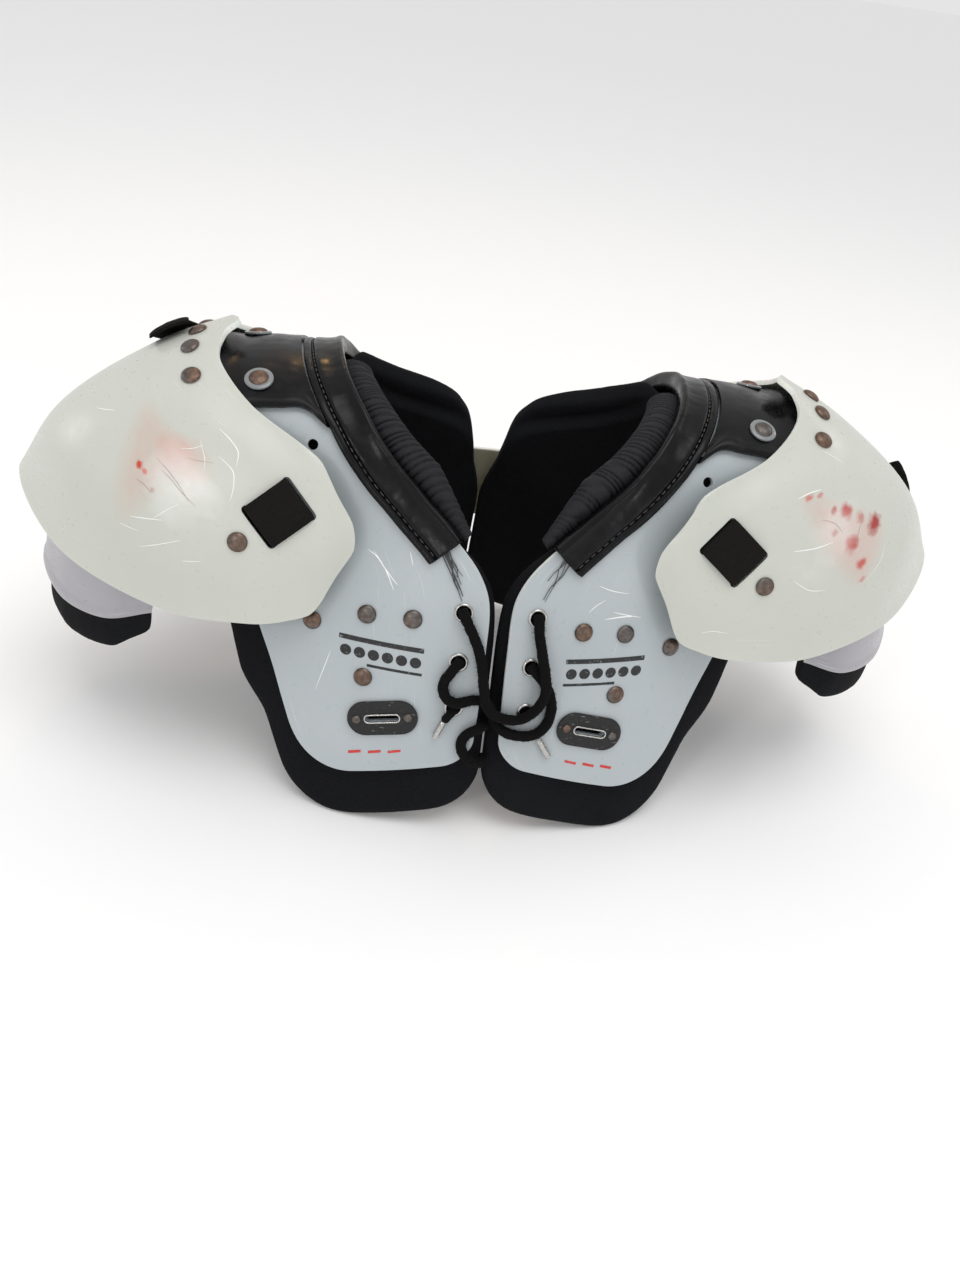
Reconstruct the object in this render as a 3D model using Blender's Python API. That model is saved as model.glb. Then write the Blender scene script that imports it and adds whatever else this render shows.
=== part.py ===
"""Football shoulder pad: two moulded body arches, each with a shoulder flap, a deltoid cup and padding,
laced together at the front and bridged at the back.

Every size below is in millimetres and is turned to metres where a vertex is made.
+Z is up, the chest faces -Y, and the origin is on the floor midway between the two halves.
Sides are named as they are seen from the front: left is -X and right is +X.
"""

import math
from collections import namedtuple

import bmesh
import bpy
from mathutils import Matrix, Vector

MM = 0.001
GAP = 0.3
SIDES = (("left", -1), ("right", 1))

# Side profile of a body arch: a round crest, then two legs that steepen towards their ends
CREST_HEIGHT = 231.0
CREST_RADIUS = 80.0
CREST_HALF_ANGLE = math.radians(66)
LEG_END_ANGLE = math.radians(74)
LEG_EASE_LENGTH = 90.0
CHEST_WRAP_RADIUS = 290.0
END_SLANT, END_SLANT_START, SLANT_PIVOT = 12.5, 190.0, 62.0
WRAP_START, WRAP_FULL = 40.0, 120.0
SHOULDER_DROP = 6.0
SHOULDER_DROP_START, SHOULDER_DROP_END = 95.0, 170.0

# Walls
PLATE_THICKNESS = 3.0
PAD_STANDOFF = 3.0
PAD_THICKNESS = 16.0
PLATE_END = 247.5
PAD_END = 279.5
PLATE_CORNER_IN, PLATE_CORNER_OUT = 16.0, 27.0
PAD_CORNER_IN, PAD_CORNER_OUT = 24.0, 32.0

# Edges of plate and pad across the arch, at places along it: s is measured from the crest, front positive
Edge = namedtuple("Edge", "s plate_in plate_out pad_in pad_out")
EDGES = (
    Edge(-280, 8, 88, 4, 106),
    Edge(-225, 7, 109, 4, 129),
    Edge(-207, 7, 117, 4, 146),
    Edge(-166, 11, 134, 4.5, 158),
    Edge(-130, 14, 144, 8, 163),
    Edge(-111, 19, 149, 11, 168),
    Edge(-97, 28, 152, 15, 170),
    Edge(-88, 43, 154, 20, 171),
    Edge(-80, 60, 156, 26, 173),
    Edge(-72, 75, 157, 38, 174),
    Edge(-60, 87, 159, 62, 176),
    Edge(-45, 94, 162, 79, 179),
    Edge(-24, 98, 165, 92, 182),
    Edge(0, 97, 166, 100, 183),
    Edge(25, 92, 165, 95, 182),
    Edge(50, 80, 161, 83, 178),
    Edge(71, 65, 157, 68, 174),
    Edge(90, 46, 153, 49, 170),
    Edge(108, 28, 149, 30, 167),
    Edge(124, 14, 145, 12, 163),
    Edge(140, 7, 140, 4, 161),
    Edge(166, 6, 134, 3.2, 158),
    Edge(207, 6.5, 117, 3.2, 146),
    Edge(225, 7, 109, 3.2, 129),
    Edge(280, 8, 88, 3.2, 106),
)

# Shoulder flap: rows from its front corner to its ridge, each with four places from neck edge to rim
FlapRow = namedtuple("FlapRow", "neck_edge upper lower rim")
FLAP_ROWS = (
    FlapRow((92, -79, 192), (83, -84, 177), (81.5, -87, 160), (91, -92, 140)),
    FlapRow((98, -76, 202), (94, -85, 184), (93, -91, 162), (98, -95, 128)),
    FlapRow((110, -69, 210), (107, -82, 190), (107, -93, 161), (111, -97, 122)),
    FlapRow((138, -53.5, 222.5), (139, -76, 201), (138, -94, 161), (136, -98, 118)),
    FlapRow((157, -30, 235.5), (175, -58, 214), (186, -84, 170), (184, -90, 119)),
    FlapRow((157.5, -14, 244.7), (196, -29, 222), (230, -53, 183), (242, -57, 132)),
    FlapRow((151.5, 0, 247.8), (202, 0, 224), (249, 0, 190), (274, 0, 152)),
)
FLAP_THICKNESS = 3.0

# Deltoid cup, nested under the flap in the same way, and the pad inside it
CUP_ROWS = (
    FlapRow((182, -40, 205), (186, -62, 185), (188, -72, 149), (190, -70, 101)),
    FlapRow((184, -34, 215), (196, -56, 191), (210, -70, 150), (218, -68, 94)),
    FlapRow((182, -18, 226), (208, -33, 203), (234, -46, 157), (248, -44, 92)),
    FlapRow((180, 0, 231), (214, 0, 209), (249, 0, 168), (266, 0, 94)),
)
CUP_THICKNESS = 2.5
CUP_PAD_THICKNESS = 14.0
CUP_PAD_DROP = 31.0

# Neck channel and the roll inside it
CHANNEL_FRONT_END, CHANNEL_BACK_END = 110.0, -88.0
CHANNEL_WIDTH = 19.5
CHANNEL_INNER_LEG = 6.0
ROLL_RADIUS = 8.5

# Hardware
CAP_RADIUS, CAP_HEIGHT = 5.2, 2.6
WASHER_RADIUS, WASHER_HEIGHT = 7.6, 1.4
EYELET_BORE, EYELET_BARREL, EYELET_FLANGE = 3.5, 4.0, 5.3
LACE_RADIUS, LACE_STEP = 2.9, 5.6
LACE_END_RADIUS, AGLET_RADIUS = 2.4, 1.8
VENT_RADIUS = 2.8


def table_value(rows, column, s):
    """A column of EDGES read at s along a smooth curve through its rows."""
    for index in range(len(rows) - 1):
        if s <= rows[index + 1].s:
            break
    a = rows[max(index - 1, 0)]
    b, c = rows[index], rows[index + 1]
    d = rows[min(index + 2, len(rows) - 1)]
    va, vb, vc, vd = (getattr(row, column) for row in (a, b, c, d))
    step = c.s - b.s
    slope_b = (vc - va) / (c.s - a.s) * step
    slope_c = (vd - vb) / (d.s - b.s) * step
    t = (s - b.s) / step
    return (
        vb * (2 * t**3 - 3 * t**2 + 1)
        + slope_b * (t**3 - 2 * t**2 + t)
        + vc * (3 * t**2 - 2 * t**3)
        + slope_c * (t**3 - t**2)
    )


def ease(value, start, full):
    """0 below start, 1 above full, smooth between."""
    t = min(1.0, max(0.0, (value - start) / (full - start)))
    return t * t * (3 - 2 * t)


def side_profile(s):
    """Depth and height of the arch's inner face at arc length s from the crest."""
    length = abs(s)
    arc = CREST_RADIUS * CREST_HALF_ANGLE
    angle = min(length, arc) / CREST_RADIUS
    depth = CREST_RADIUS * math.sin(angle)
    height = CREST_HEIGHT - CREST_RADIUS * (1 - math.cos(angle))
    steps = 12
    for index in range(steps if length > arc else 0):
        step = (length - arc) / steps
        share = min(1.0, (index + 0.5) * step / LEG_EASE_LENGTH)
        slope = CREST_HALF_ANGLE + (LEG_END_ANGLE - CREST_HALF_ANGLE) * share
        depth += math.cos(slope) * step
        height -= math.sin(slope) * step
    return (-depth if s > 0 else depth), height


def arch_skin(s, x):
    """A point on the inner face of the body arch. Its lower end runs longer towards the outer side."""
    end_share = ease(abs(s), END_SLANT_START, PLATE_END)
    slant = END_SLANT * (abs(x) - SLANT_PIVOT) / 50.0 * end_share
    y, z = side_profile(s + slant if s > 0 else s - slant)
    towards_middle = 1 if s > 0 else -1
    y += towards_middle * ease(abs(s), WRAP_START, WRAP_FULL) * x * x / (2 * CHEST_WRAP_RADIUS)
    outward = max(0.0, abs(x) - SHOULDER_DROP_START) / (SHOULDER_DROP_END - SHOULDER_DROP_START)
    z -= SHOULDER_DROP * outward**2 * (1 - ease(abs(s), WRAP_START, WRAP_FULL))
    return Vector((x, y, z))


def frame_on(skin, a, b, step=0.5):
    """Point, two surface directions and the outward normal of a skin at (a, b)."""
    along = skin(a + step, b) - skin(a - step, b)
    across = skin(a, b + step) - skin(a, b - step)
    normal = along.cross(across).normalized()
    return skin(a, b), along.normalized(), across.normalized(), normal


def arch_point(s, x, height):
    """A point at a height above the inner face of the body arch."""
    point, _, _, normal = frame_on(arch_skin, s, x)
    return point + normal * height


def rounded_span(low, high, past_in, corner_in, past_out, corner_out):
    """Ends of a row that has run past the start of two rounded corners."""
    past_in = min(max(past_in, 0.0), corner_in)
    past_out = min(max(past_out, 0.0), corner_out)
    low += corner_in - math.sqrt(corner_in**2 - past_in**2)
    high -= corner_out - math.sqrt(corner_out**2 - past_out**2)
    return low, high


def plate_span(s):
    low = table_value(EDGES, "plate_in", s)
    high = table_value(EDGES, "plate_out", s)
    past = abs(s) - PLATE_END
    past_in = past + PLATE_CORNER_IN
    past_out = past + PLATE_CORNER_OUT
    return rounded_span(low, high, past_in, PLATE_CORNER_IN, past_out, PLATE_CORNER_OUT)


def pad_span(s):
    low = table_value(EDGES, "pad_in", s)
    high = table_value(EDGES, "pad_out", s)
    past = abs(s) - PAD_END
    past_in = past + PAD_CORNER_IN
    past_out = past + PAD_CORNER_OUT
    return rounded_span(low, high, past_in, PAD_CORNER_IN, past_out, PAD_CORNER_OUT)


def stations(end, corner, fine_step, fine_reach, coarse_step):
    """Places along the arch from back end to front end: close at the neck edge and at rounded corners."""
    half = [fine_step * index for index in range(int(fine_reach / fine_step) + 1)]
    flat_end = end - corner
    coarse_count = max(1, round((flat_end - half[-1]) / coarse_step))
    coarse = (flat_end - half[-1]) / coarse_count
    half += [half[-1] + coarse * index for index in range(1, coarse_count + 1)]
    half += [flat_end + corner * math.sin(math.radians(turn)) for turn in (32, 60, 80, 90)]
    return [-s for s in reversed(half[1:])] + half


def material(name, colour, roughness, metallic=0.0):
    made = bpy.data.materials.get(name)
    if made:
        return made
    made = bpy.data.materials.new(name)
    made.use_nodes = True
    shader = made.node_tree.nodes["Principled BSDF"]
    shader.inputs["Base Color"].default_value = (*colour, 1.0)
    shader.inputs["Roughness"].default_value = roughness
    shader.inputs["Metallic"].default_value = metallic
    return made


def white_plastic():
    return material("moulded_polyethylene", (0.74, 0.76, 0.72), 0.32)


def pale_plastic():
    return material("pale_grey_polyethylene", (0.6, 0.6, 0.64), 0.4)


def black_nylon():
    return material("black_nylon_over_foam", (0.012, 0.012, 0.013), 0.85)


def black_vinyl():
    return material("black_vinyl", (0.02, 0.02, 0.022), 0.3)


def black_webbing():
    return material("black_elastic_webbing", (0.014, 0.014, 0.015), 0.9)


def aged_brass():
    return material("antiqued_brass", (0.2, 0.13, 0.09), 0.4, 1.0)


def nickel():
    return material("nickel_plate", (0.75, 0.75, 0.74), 0.2, 1.0)


def lace_cotton():
    return material("black_cotton_lace", (0.012, 0.012, 0.012), 0.95)


def new_object(name, mesh_source, finish, smooth_angle=math.radians(40)):
    """An object of its own from a bmesh whose vertices are in metres."""
    mesh = bpy.data.meshes.new(name)
    mesh_source.to_mesh(mesh)
    mesh_source.free()
    mesh.materials.append(finish)
    mesh.shade_smooth()
    mesh.set_sharp_from_angle(angle=smooth_angle)
    made = bpy.data.objects.new(name, mesh)
    bpy.context.scene.collection.objects.link(made)
    return made


def mirrored(points, side):
    return [Vector((side * p.x, p.y, p.z)) * MM for p in points]


def sheet(name, rows, side, thickness, finish):
    """A grid of points made a wall: Solidify adds its thickness on the outward side."""
    shape = bmesh.new()
    grid = [[shape.verts.new(p) for p in mirrored(row, side)] for row in rows]
    for lower, upper in zip(grid, grid[1:]):
        for index in range(len(lower) - 1):
            corners = [lower[index], upper[index], upper[index + 1], lower[index + 1]]
            shape.faces.new(corners if side > 0 else corners[::-1])
    made = new_object(name, shape, finish)
    wall = made.modifiers.new("wall", "SOLIDIFY")
    wall.thickness = thickness * MM
    wall.offset = 1.0
    wall.use_even_offset = True
    return made


def lofted(name, loops, side, finish, trim=None):
    """A closed body through a row of closed loops, with both ends capped."""
    shape = bmesh.new()
    rings = [[shape.verts.new(p) for p in mirrored(loop, side)] for loop in loops]
    for lower, upper in zip(rings, rings[1:]):
        count = len(lower)
        for index in range(count):
            after = (index + 1) % count
            shape.faces.new([lower[index], lower[after], upper[after], upper[index]])
    shape.faces.new(rings[0][::-1])
    shape.faces.new(rings[-1])
    if trim:
        trim(shape)
    bmesh.ops.recalc_face_normals(shape, faces=shape.faces)
    return new_object(name, shape, finish)


def turned(name, profile, sides, finish):
    """A solid of revolution about its own Z axis. Its profile starts and ends on the axis, or is a ring."""
    shape = bmesh.new()
    corners = [shape.verts.new((r * MM, 0, z * MM)) for r, z in profile]
    ring = profile[0][0] > 0
    edges = [shape.edges.new(pair) for pair in zip(corners, corners[1:])]
    if ring:
        edges.append(shape.edges.new((corners[-1], corners[0])))
    bmesh.ops.spin(
        shape,
        geom=corners + edges,
        cent=(0, 0, 0),
        axis=(0, 0, 1),
        angle=math.tau,
        steps=sides,
        use_merge=True,
    )
    bmesh.ops.remove_doubles(shape, verts=shape.verts, dist=0.01 * MM)
    bmesh.ops.recalc_face_normals(shape, faces=shape.faces)
    return new_object(name, shape, finish)


def seat(made, point, along, normal, side):
    """Stands an object on a surface: its Z is the surface's normal, its X runs along the given direction."""
    z_axis = Vector((side * normal.x, normal.y, normal.z)).normalized()
    x_axis = Vector((side * along.x, along.y, along.z))
    x_axis = (x_axis - z_axis * x_axis.dot(z_axis)).normalized()
    y_axis = z_axis.cross(x_axis)
    turn = Matrix((x_axis, y_axis, z_axis)).transposed().to_4x4()
    place = Vector((side * point.x, point.y, point.z)) * MM
    made.matrix_world = Matrix.Translation(place) @ turn
    return made


def cut(made, cutter):
    """Takes a hidden cutter's shape out of an object."""
    cutter.hide_render = True
    cutter.display_type = "WIRE"
    hole = made.modifiers.new(cutter.name, "BOOLEAN")
    hole.operation = "DIFFERENCE"
    hole.object = cutter
    hole.solver = "EXACT"


# Body arch plates, with eyelet holes, a belt slot and a vent hole
EYELETS = ((146.5, 20.0), (174.5, 20.0), (202.5, 20.0))
BELT_SLOT_PLACE = (214.0, 58.0)
BELT_SLOT_TURN = math.radians(8)
BELT_SLOT_LENGTH, BELT_SLOT_WIDTH = 19.0, 3.6
VENT_PLACE = (67.0, 106.0)
PLATE_COLUMNS = 6


def hole_cutter(name, radius, place, side):
    cutter = turned(name, ((0, -9), (radius, -9), (radius, 12), (0, 12)), 10, white_plastic())
    point, along, _, normal = frame_on(arch_skin, *place)
    return seat(cutter, point, along, normal, side)


def stadium(length, width, steps=4):
    """Outline of a slot: two half circles joined by straight sides."""
    radius, straight = width / 2, length / 2 - width / 2
    corners = []
    for end in (1, -1):
        for index in range(steps + 1):
            turn = math.pi * index / steps - math.pi / 2
            corners.append((end * (straight + radius * math.cos(turn)), end * radius * math.sin(turn)))
    return corners


def slot_solid(name, length, width, low, high, finish, steps=4):
    """A straight prism over a stadium outline."""
    shape = bmesh.new()
    outline = stadium(length, width, steps)
    face = shape.faces.new([shape.verts.new((x * MM, y * MM, low * MM)) for x, y in outline])
    grown = bmesh.ops.extrude_face_region(shape, geom=[face])
    lifted = [item for item in grown["geom"] if isinstance(item, bmesh.types.BMVert)]
    bmesh.ops.translate(shape, verts=lifted, vec=(0, 0, (high - low) * MM))
    bmesh.ops.recalc_face_normals(shape, faces=shape.faces)
    return new_object(name, shape, finish)


def seat_slot(made, side):
    point, down, across, normal = frame_on(arch_skin, *BELT_SLOT_PLACE)
    level = across * math.cos(BELT_SLOT_TURN) + down * math.sin(BELT_SLOT_TURN)
    return seat(made, point, level, normal, side)


def build_arch_plate(label, side):
    rows = []
    for s in stations(PLATE_END, PLATE_CORNER_OUT, 12.0, 120.0, 34.0):
        low, high = plate_span(s)
        places = [low + (high - low) * index / PLATE_COLUMNS for index in range(PLATE_COLUMNS + 1)]
        rows.append([arch_point(s, x, 0) for x in places])
    plate = sheet(f"body_arch_{label}", rows, side, PLATE_THICKNESS, white_plastic())
    for index, place in enumerate(EYELETS):
        cut(plate, hole_cutter(f"cut_eyelet_{index}_{label}", EYELET_BARREL + GAP, place, side))
    cut(plate, hole_cutter(f"cut_vent_{label}", VENT_RADIUS, VENT_PLACE, side))
    slot = slot_solid(f"cut_slot_{label}", BELT_SLOT_LENGTH, BELT_SLOT_WIDTH, -9, 12, white_plastic())
    cut(plate, seat_slot(slot, side))


# Body pads: foam in black nylon behind each arch, wider than its plate all round
PAD_SECTION = ((0.0, -0.5), (0.03, -0.1), (0.12, 0.0), (0.5, 0.0), (0.88, 0.0), (0.97, -0.1),
               (1.0, -0.5), (0.97, -0.9), (0.88, -1.0), (0.5, -1.0), (0.12, -1.0), (0.03, -0.9))


def flattened_at_floor(shape):
    """Cuts away what reaches below the floor, so that the pad stands on a flat foot."""
    whole = shape.verts[:] + shape.edges[:] + shape.faces[:]
    sliced = bmesh.ops.bisect_plane(
        shape, geom=whole, plane_co=(0, 0, 0), plane_no=(0, 0, 1), clear_inner=True
    )
    rim = [item for item in sliced["geom_cut"] if isinstance(item, bmesh.types.BMEdge)]
    bmesh.ops.holes_fill(shape, edges=rim, sides=0)


def build_body_pad(label, side):
    loops = []
    for s in stations(PAD_END, PAD_CORNER_OUT, 15.0, 135.0, 38.0):
        low, high = pad_span(s)
        end_share = max(0.0, abs(s) - (PAD_END - PAD_THICKNESS / 2)) / (PAD_THICKNESS / 2)
        thickness = PAD_THICKNESS * (0.45 + 0.55 * math.sqrt(1 - min(1.0, end_share) ** 2))
        middle = -PAD_STANDOFF - PAD_THICKNESS / 2
        loop = []
        for across, depth in PAD_SECTION:
            loop.append(arch_point(s, low + (high - low) * across, middle + thickness * (0.5 + depth)))
        loops.append(loop)
    lofted(f"body_pad_{label}", loops, side, black_nylon(), flattened_at_floor)


# Neck channel: a vinyl binding folded over the neck edge of each arch
def neck_point(s, into, height):
    """A point a distance into the plate from its neck edge, and at a height above its inner face."""
    edge = table_value(EDGES, "plate_in", s)
    slope = table_value(EDGES, "plate_in", s + 1) - edge
    length = math.hypot(1, slope)
    return arch_point(s - into * slope / length, edge + into / length, height)


CHANNEL_TOP = PLATE_THICKNESS + GAP + 0.8
CHANNEL_STEPS = 22
CHANNEL_SECTION = (
    (CHANNEL_WIDTH, CHANNEL_TOP), (CHANNEL_WIDTH, CHANNEL_TOP + 1.6), (9.5, CHANNEL_TOP + 2.2),
    (1.5, CHANNEL_TOP + 4.0), (-2.8, CHANNEL_TOP + 1.0), (-2.8, -0.8),
    (-1.3, -2.6), (CHANNEL_INNER_LEG, -2.6), (CHANNEL_INNER_LEG, -1.2), (-1.3, -1.2), (-1.3, CHANNEL_TOP),
    (9.5, CHANNEL_TOP),
)


def build_neck_channel(label, side):
    loops = []
    for index in range(CHANNEL_STEPS + 1):
        s = CHANNEL_FRONT_END + (CHANNEL_BACK_END - CHANNEL_FRONT_END) * index / CHANNEL_STEPS
        loops.append([neck_point(s, into, height) for into, height in CHANNEL_SECTION])
    lofted(f"neck_channel_{label}", loops, side, black_vinyl())


# Neck roll: the gathered nylon roll that stands past the channel into the neck opening
ROLL_FRONT_END, ROLL_BACK_END = 112.0, -14.0
ROLL_SIDES, ROLL_STEPS = 8, 14


def build_neck_roll(label, side):
    loops = []
    for index in range(ROLL_STEPS + 1):
        share = index / ROLL_STEPS
        s = ROLL_FRONT_END + (ROLL_BACK_END - ROLL_FRONT_END) * share
        radius = ROLL_RADIUS * min(1.0, 0.35 + 3 * share, 0.45 + 4 * (1 - share))
        edge = table_value(EDGES, "pad_in", s)
        slope = table_value(EDGES, "pad_in", s + 1) - edge
        length = math.hypot(1, slope)
        loop = []
        for step in range(ROLL_SIDES):
            turn = math.tau * step / ROLL_SIDES
            into = radius * math.cos(turn) - radius - 1.2
            height = -PAD_STANDOFF - PAD_THICKNESS / 2 + 0.8 * radius * math.sin(turn)
            loop.append(arch_point(s - into * slope / length, edge + into / length, height))
        loops.append(loop)
    lofted(f"neck_roll_{label}", loops, side, black_nylon())


# Shoulder flap and deltoid cup: smooth shells through their rows, alike in front and behind
def smooth_through(points, place):
    """A point on the smooth curve through a row of points, one unit apart."""
    index = min(int(place), len(points) - 2)
    t = place - index
    b, c = points[index], points[index + 1]
    a = points[index - 1] if index > 0 else b * 2 - c
    d = points[index + 2] if index + 2 < len(points) else c * 2 - b
    return b + (c - a) * (t / 2) + (a * 2 - b * 5 + c * 4 - d) * (t * t / 2) + (b * 3 - a - c * 3 + d) * (t**3 / 2)


def shell_skin(front_rows):
    """A skin over u, from the back corner to the front corner, and v, from the neck edge to the rim."""
    front = [[Vector(point) for point in row] for row in front_rows]
    back = [[Vector((point.x, -point.y, point.z)) for point in row] for row in front[:-1]]
    rows = back + front[::-1]

    def skin(u, v):
        return smooth_through([smooth_through(row, max(0.0, min(3.0, v))) for row in rows], u)

    return skin


flap_skin = shell_skin(FLAP_ROWS)
cup_skin = shell_skin(CUP_ROWS)
FLAP_END = 2.0 * (len(FLAP_ROWS) - 1)
CUP_END = 2.0 * (len(CUP_ROWS) - 1)


def shell_frame(skin, end, u, v):
    """Point, direction towards the front, direction towards the rim and outward normal."""
    u = min(max(u, 0.02), end - 0.02)
    v = min(max(v, 0.02), 2.98)
    return frame_on(skin, u, v, 0.02)


def shell_point(skin, end, u, v, height):
    return skin(u, v) + shell_frame(skin, end, u, v)[3] * height


def build_shell(name, skin, end, u_steps, v_steps, side, thickness, finish):
    """The shell's outer face is the skin, so its wall goes inward."""
    rows = []
    for index in range(u_steps + 1):
        u = end * index / u_steps
        places = [3.0 * step / v_steps for step in range(v_steps + 1)]
        rows.append([shell_point(skin, end, u, v, -thickness) for v in places])
    return sheet(name, rows, side, thickness, finish)


# Flap loops: elastic webbing riveted under the flap, out through one slot and back in through another
LOOP_PLACE = (9.52, 1.46)
LOOP_RIVET_PLACE = (8.95, 1.92)
LOOP_WIDTH, LOOP_THICKNESS = 24.0, 1.6
LOOP_HALF_SPAN = 12.6
LOOP_SLOT_LENGTH, LOOP_SLOT_WIDTH = 26.0, 4.6


def flap_place_near(place, move):
    """The (u, v) of the flap reached by a move in space, in millimetres along the surface."""
    u, v = place
    for _ in range(4):
        eu = (flap_skin(u + 0.02, v) - flap_skin(u - 0.02, v)) / 0.04
        ev = (flap_skin(u, v + 0.02) - flap_skin(u, v - 0.02)) / 0.04
        rest = flap_skin(*place) + move - flap_skin(u, v)
        a, b, c = eu.dot(eu), eu.dot(ev), ev.dot(ev)
        p, q = rest.dot(eu), rest.dot(ev)
        u += (c * p - b * q) / (a * c - b * b)
        v += (a * q - b * p) / (a * c - b * b)
    return u, v


def loop_axes():
    """Direction of the webbing, from its rivet to the patch, and the direction of its width."""
    point, _, _, normal = shell_frame(flap_skin, FLAP_END, *LOOP_PLACE)
    run = point - flap_skin(*LOOP_RIVET_PLACE)
    run = (run - normal * run.dot(normal)).normalized()
    return run, normal.cross(run), normal


def build_flap(label, side):
    flap_name = f"shoulder_flap_{label}"
    flap = build_shell(flap_name, flap_skin, FLAP_END, 22, 7, side, FLAP_THICKNESS, white_plastic())
    run, width, _ = loop_axes()
    for number, offset in enumerate((-LOOP_HALF_SPAN, LOOP_HALF_SPAN)):
        for facing, depth in (("front", 1), ("back", -1)):
            place = flap_place_near(LOOP_PLACE, run * offset)
            point, _, _, normal = shell_frame(flap_skin, FLAP_END, *place)
            cut_name = f"cut_loop_{facing}_{number}_{label}"
            slot = slot_solid(cut_name, LOOP_SLOT_LENGTH, LOOP_SLOT_WIDTH, -9, 7, white_plastic())
            flipped = [Vector((v.x, depth * v.y, v.z)) for v in (point, width, normal)]
            seat(slot, flipped[0], flipped[1], flipped[2], side)
            cut(flap, slot)


def ribbon(name, stations, width, thickness, side, depth, finish):
    """A flat band through stations of centre, width direction and upward direction."""
    loops = []
    for centre, across, up in stations:
        across = across.normalized() * (width / 2)
        up = up.normalized() * (thickness / 2)
        corners = [centre - across - up, centre + across - up, centre + across + up, centre - across + up]
        loops.append([Vector((c.x, depth * c.y, c.z)) for c in corners])
    return lofted(name, loops, side, finish)


def build_loop(label, side, facing, depth):
    run, width, normal = loop_axes()
    half = LOOP_THICKNESS / 2
    under, over = -FLAP_THICKNESS - 2.2 - half, GAP + 0.2 + half

    def on_flap(offset, height, lean=0.0):
        place = flap_place_near(LOOP_PLACE, run * offset)
        point, _, _, up = shell_frame(flap_skin, FLAP_END, *place)
        along = width.cross(up)
        return point + up * height, width, up * math.cos(lean) + along * math.sin(lean)

    quarter = math.pi / 2
    span = LOOP_HALF_SPAN
    stations = [
        on_flap(-31, under), on_flap(-22, under), on_flap(-span - 1.6, under + 0.2),
        on_flap(-span, under + 1.7, -quarter * 0.6),
        on_flap(-span, -1.5, -quarter), on_flap(-span + 0.4, over - 0.5, -quarter * 0.6),
        on_flap(-span + 2.0, over + 0.4), on_flap(-6, over + 0.5), on_flap(0, over + 0.6),
        on_flap(6, over + 0.5),
        on_flap(span - 2.0, over + 0.4), on_flap(span - 0.4, over - 0.5, quarter * 0.6),
        on_flap(span, -1.5, quarter),
        on_flap(span, under - 2, quarter),
    ]
    ribbon(f"flap_loop_{facing}_{label}", stations, LOOP_WIDTH, LOOP_THICKNESS, side, depth, black_webbing())


# Saddle strap: padded vinyl across the crest that runs on outward as the flap's hinge
STRAP_HALF_LENGTH = 48.0
STRAP_THICKNESS = 3.0
STRAP_FLAP_HALF = 2.0


def build_saddle_strap(label, side):
    rows = []
    height = PLATE_THICKNESS + GAP + 0.8
    for index in range(11):
        share = 1 - index / 5
        s = STRAP_HALF_LENGTH * share
        u = FLAP_END / 2 + STRAP_FLAP_HALF * share
        inner = neck_point(s, CHANNEL_WIDTH + 1.0, height)
        outer = arch_point(s, 138, height)
        row = [inner, arch_point(s, (inner.x * 2 + 138) / 3, height)]
        row.append(arch_point(s, (inner.x + 276) / 3, height))
        row += [outer, arch_point(s, 151, height)]
        for v in (0.26, 0.44):
            under_flap = -FLAP_THICKNESS - GAP - 0.6 - STRAP_THICKNESS
            row.append(shell_point(flap_skin, FLAP_END, u, v, under_flap))
        rows.append(row)
    sheet(f"saddle_strap_{label}", rows[::-1], side, STRAP_THICKNESS, black_vinyl())


# Cup pad: foam inside the cup that hangs below its rim
def build_cup_pad(label, side):
    loops = []
    section = ((0.0, -0.5), (0.05, 0.0), (0.3, 0.0), (0.6, 0.0), (0.85, 0.0), (0.97, -0.15),
               (1.0, -0.5), (0.97, -0.85), (0.85, -1.0), (0.6, -1.0), (0.3, -1.0), (0.05, -1.0))
    for u in [0.2] + [0.5 * step for step in range(1, 12)] + [CUP_END - 0.2]:
        share = (u - 0.2) / (CUP_END - 0.4)
        bulge = math.sin(math.pi * share)
        drop = 8 + (CUP_PAD_DROP - 8) * min(1.0, 1.6 * bulge)
        top = 1.0 + 0.5 * (1 - bulge)
        thickness = CUP_PAD_THICKNESS * (0.45 + 0.55 * min(1.0, 3 * bulge))
        loop = []
        for along, depth in section:
            place = top + (3.0 - top) * along / 0.75
            below = max(0.0, along - 0.75) / 0.25 * drop
            inward = -CUP_THICKNESS - 1.8 + thickness * depth
            base = shell_point(cup_skin, CUP_END, u, min(place, 3.0), inward)
            rim_run = (cup_skin(u, 3.0) - cup_skin(u, 2.8)).normalized()
            loop.append(base + rim_run * below)
        loops.append(loop)
    lofted(f"cup_pad_{label}", loops, side, black_nylon())


# Hardware on the chest: rivet caps, eyelets, the belt slot's facing and ferrule
CHEST_RIVETS = ((154.0, 46.5), (156.0, 71.0), (166.5, 100.0), (192.0, 70.5))
CAP_PROFILE = ((0, 0), (CAP_RADIUS, 0), (CAP_RADIUS, 0.7), (3.8, 1.9), (0, CAP_HEIGHT))
CAP_SIDES = 8
WASHER_PROFILE = (
    (0, 0), (WASHER_RADIUS, 0), (WASHER_RADIUS, WASHER_HEIGHT), (5.3, WASHER_HEIGHT), (3.8, 2.9), (0, 3.4),
)
EYELET_PROFILE = (
    (EYELET_BORE, -1.4), (4.9, -1.4), (4.9, -0.6), (EYELET_BARREL, -0.6),
    (EYELET_BARREL, PLATE_THICKNESS + GAP), (EYELET_FLANGE, PLATE_THICKNESS + GAP), (4.6, 4.3),
    (EYELET_BORE, 4.0),
)


def on_arch(made, place, height, side):
    point, along, _, normal = frame_on(arch_skin, *place)
    return seat(made, point + normal * height, along, normal, side)


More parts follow.
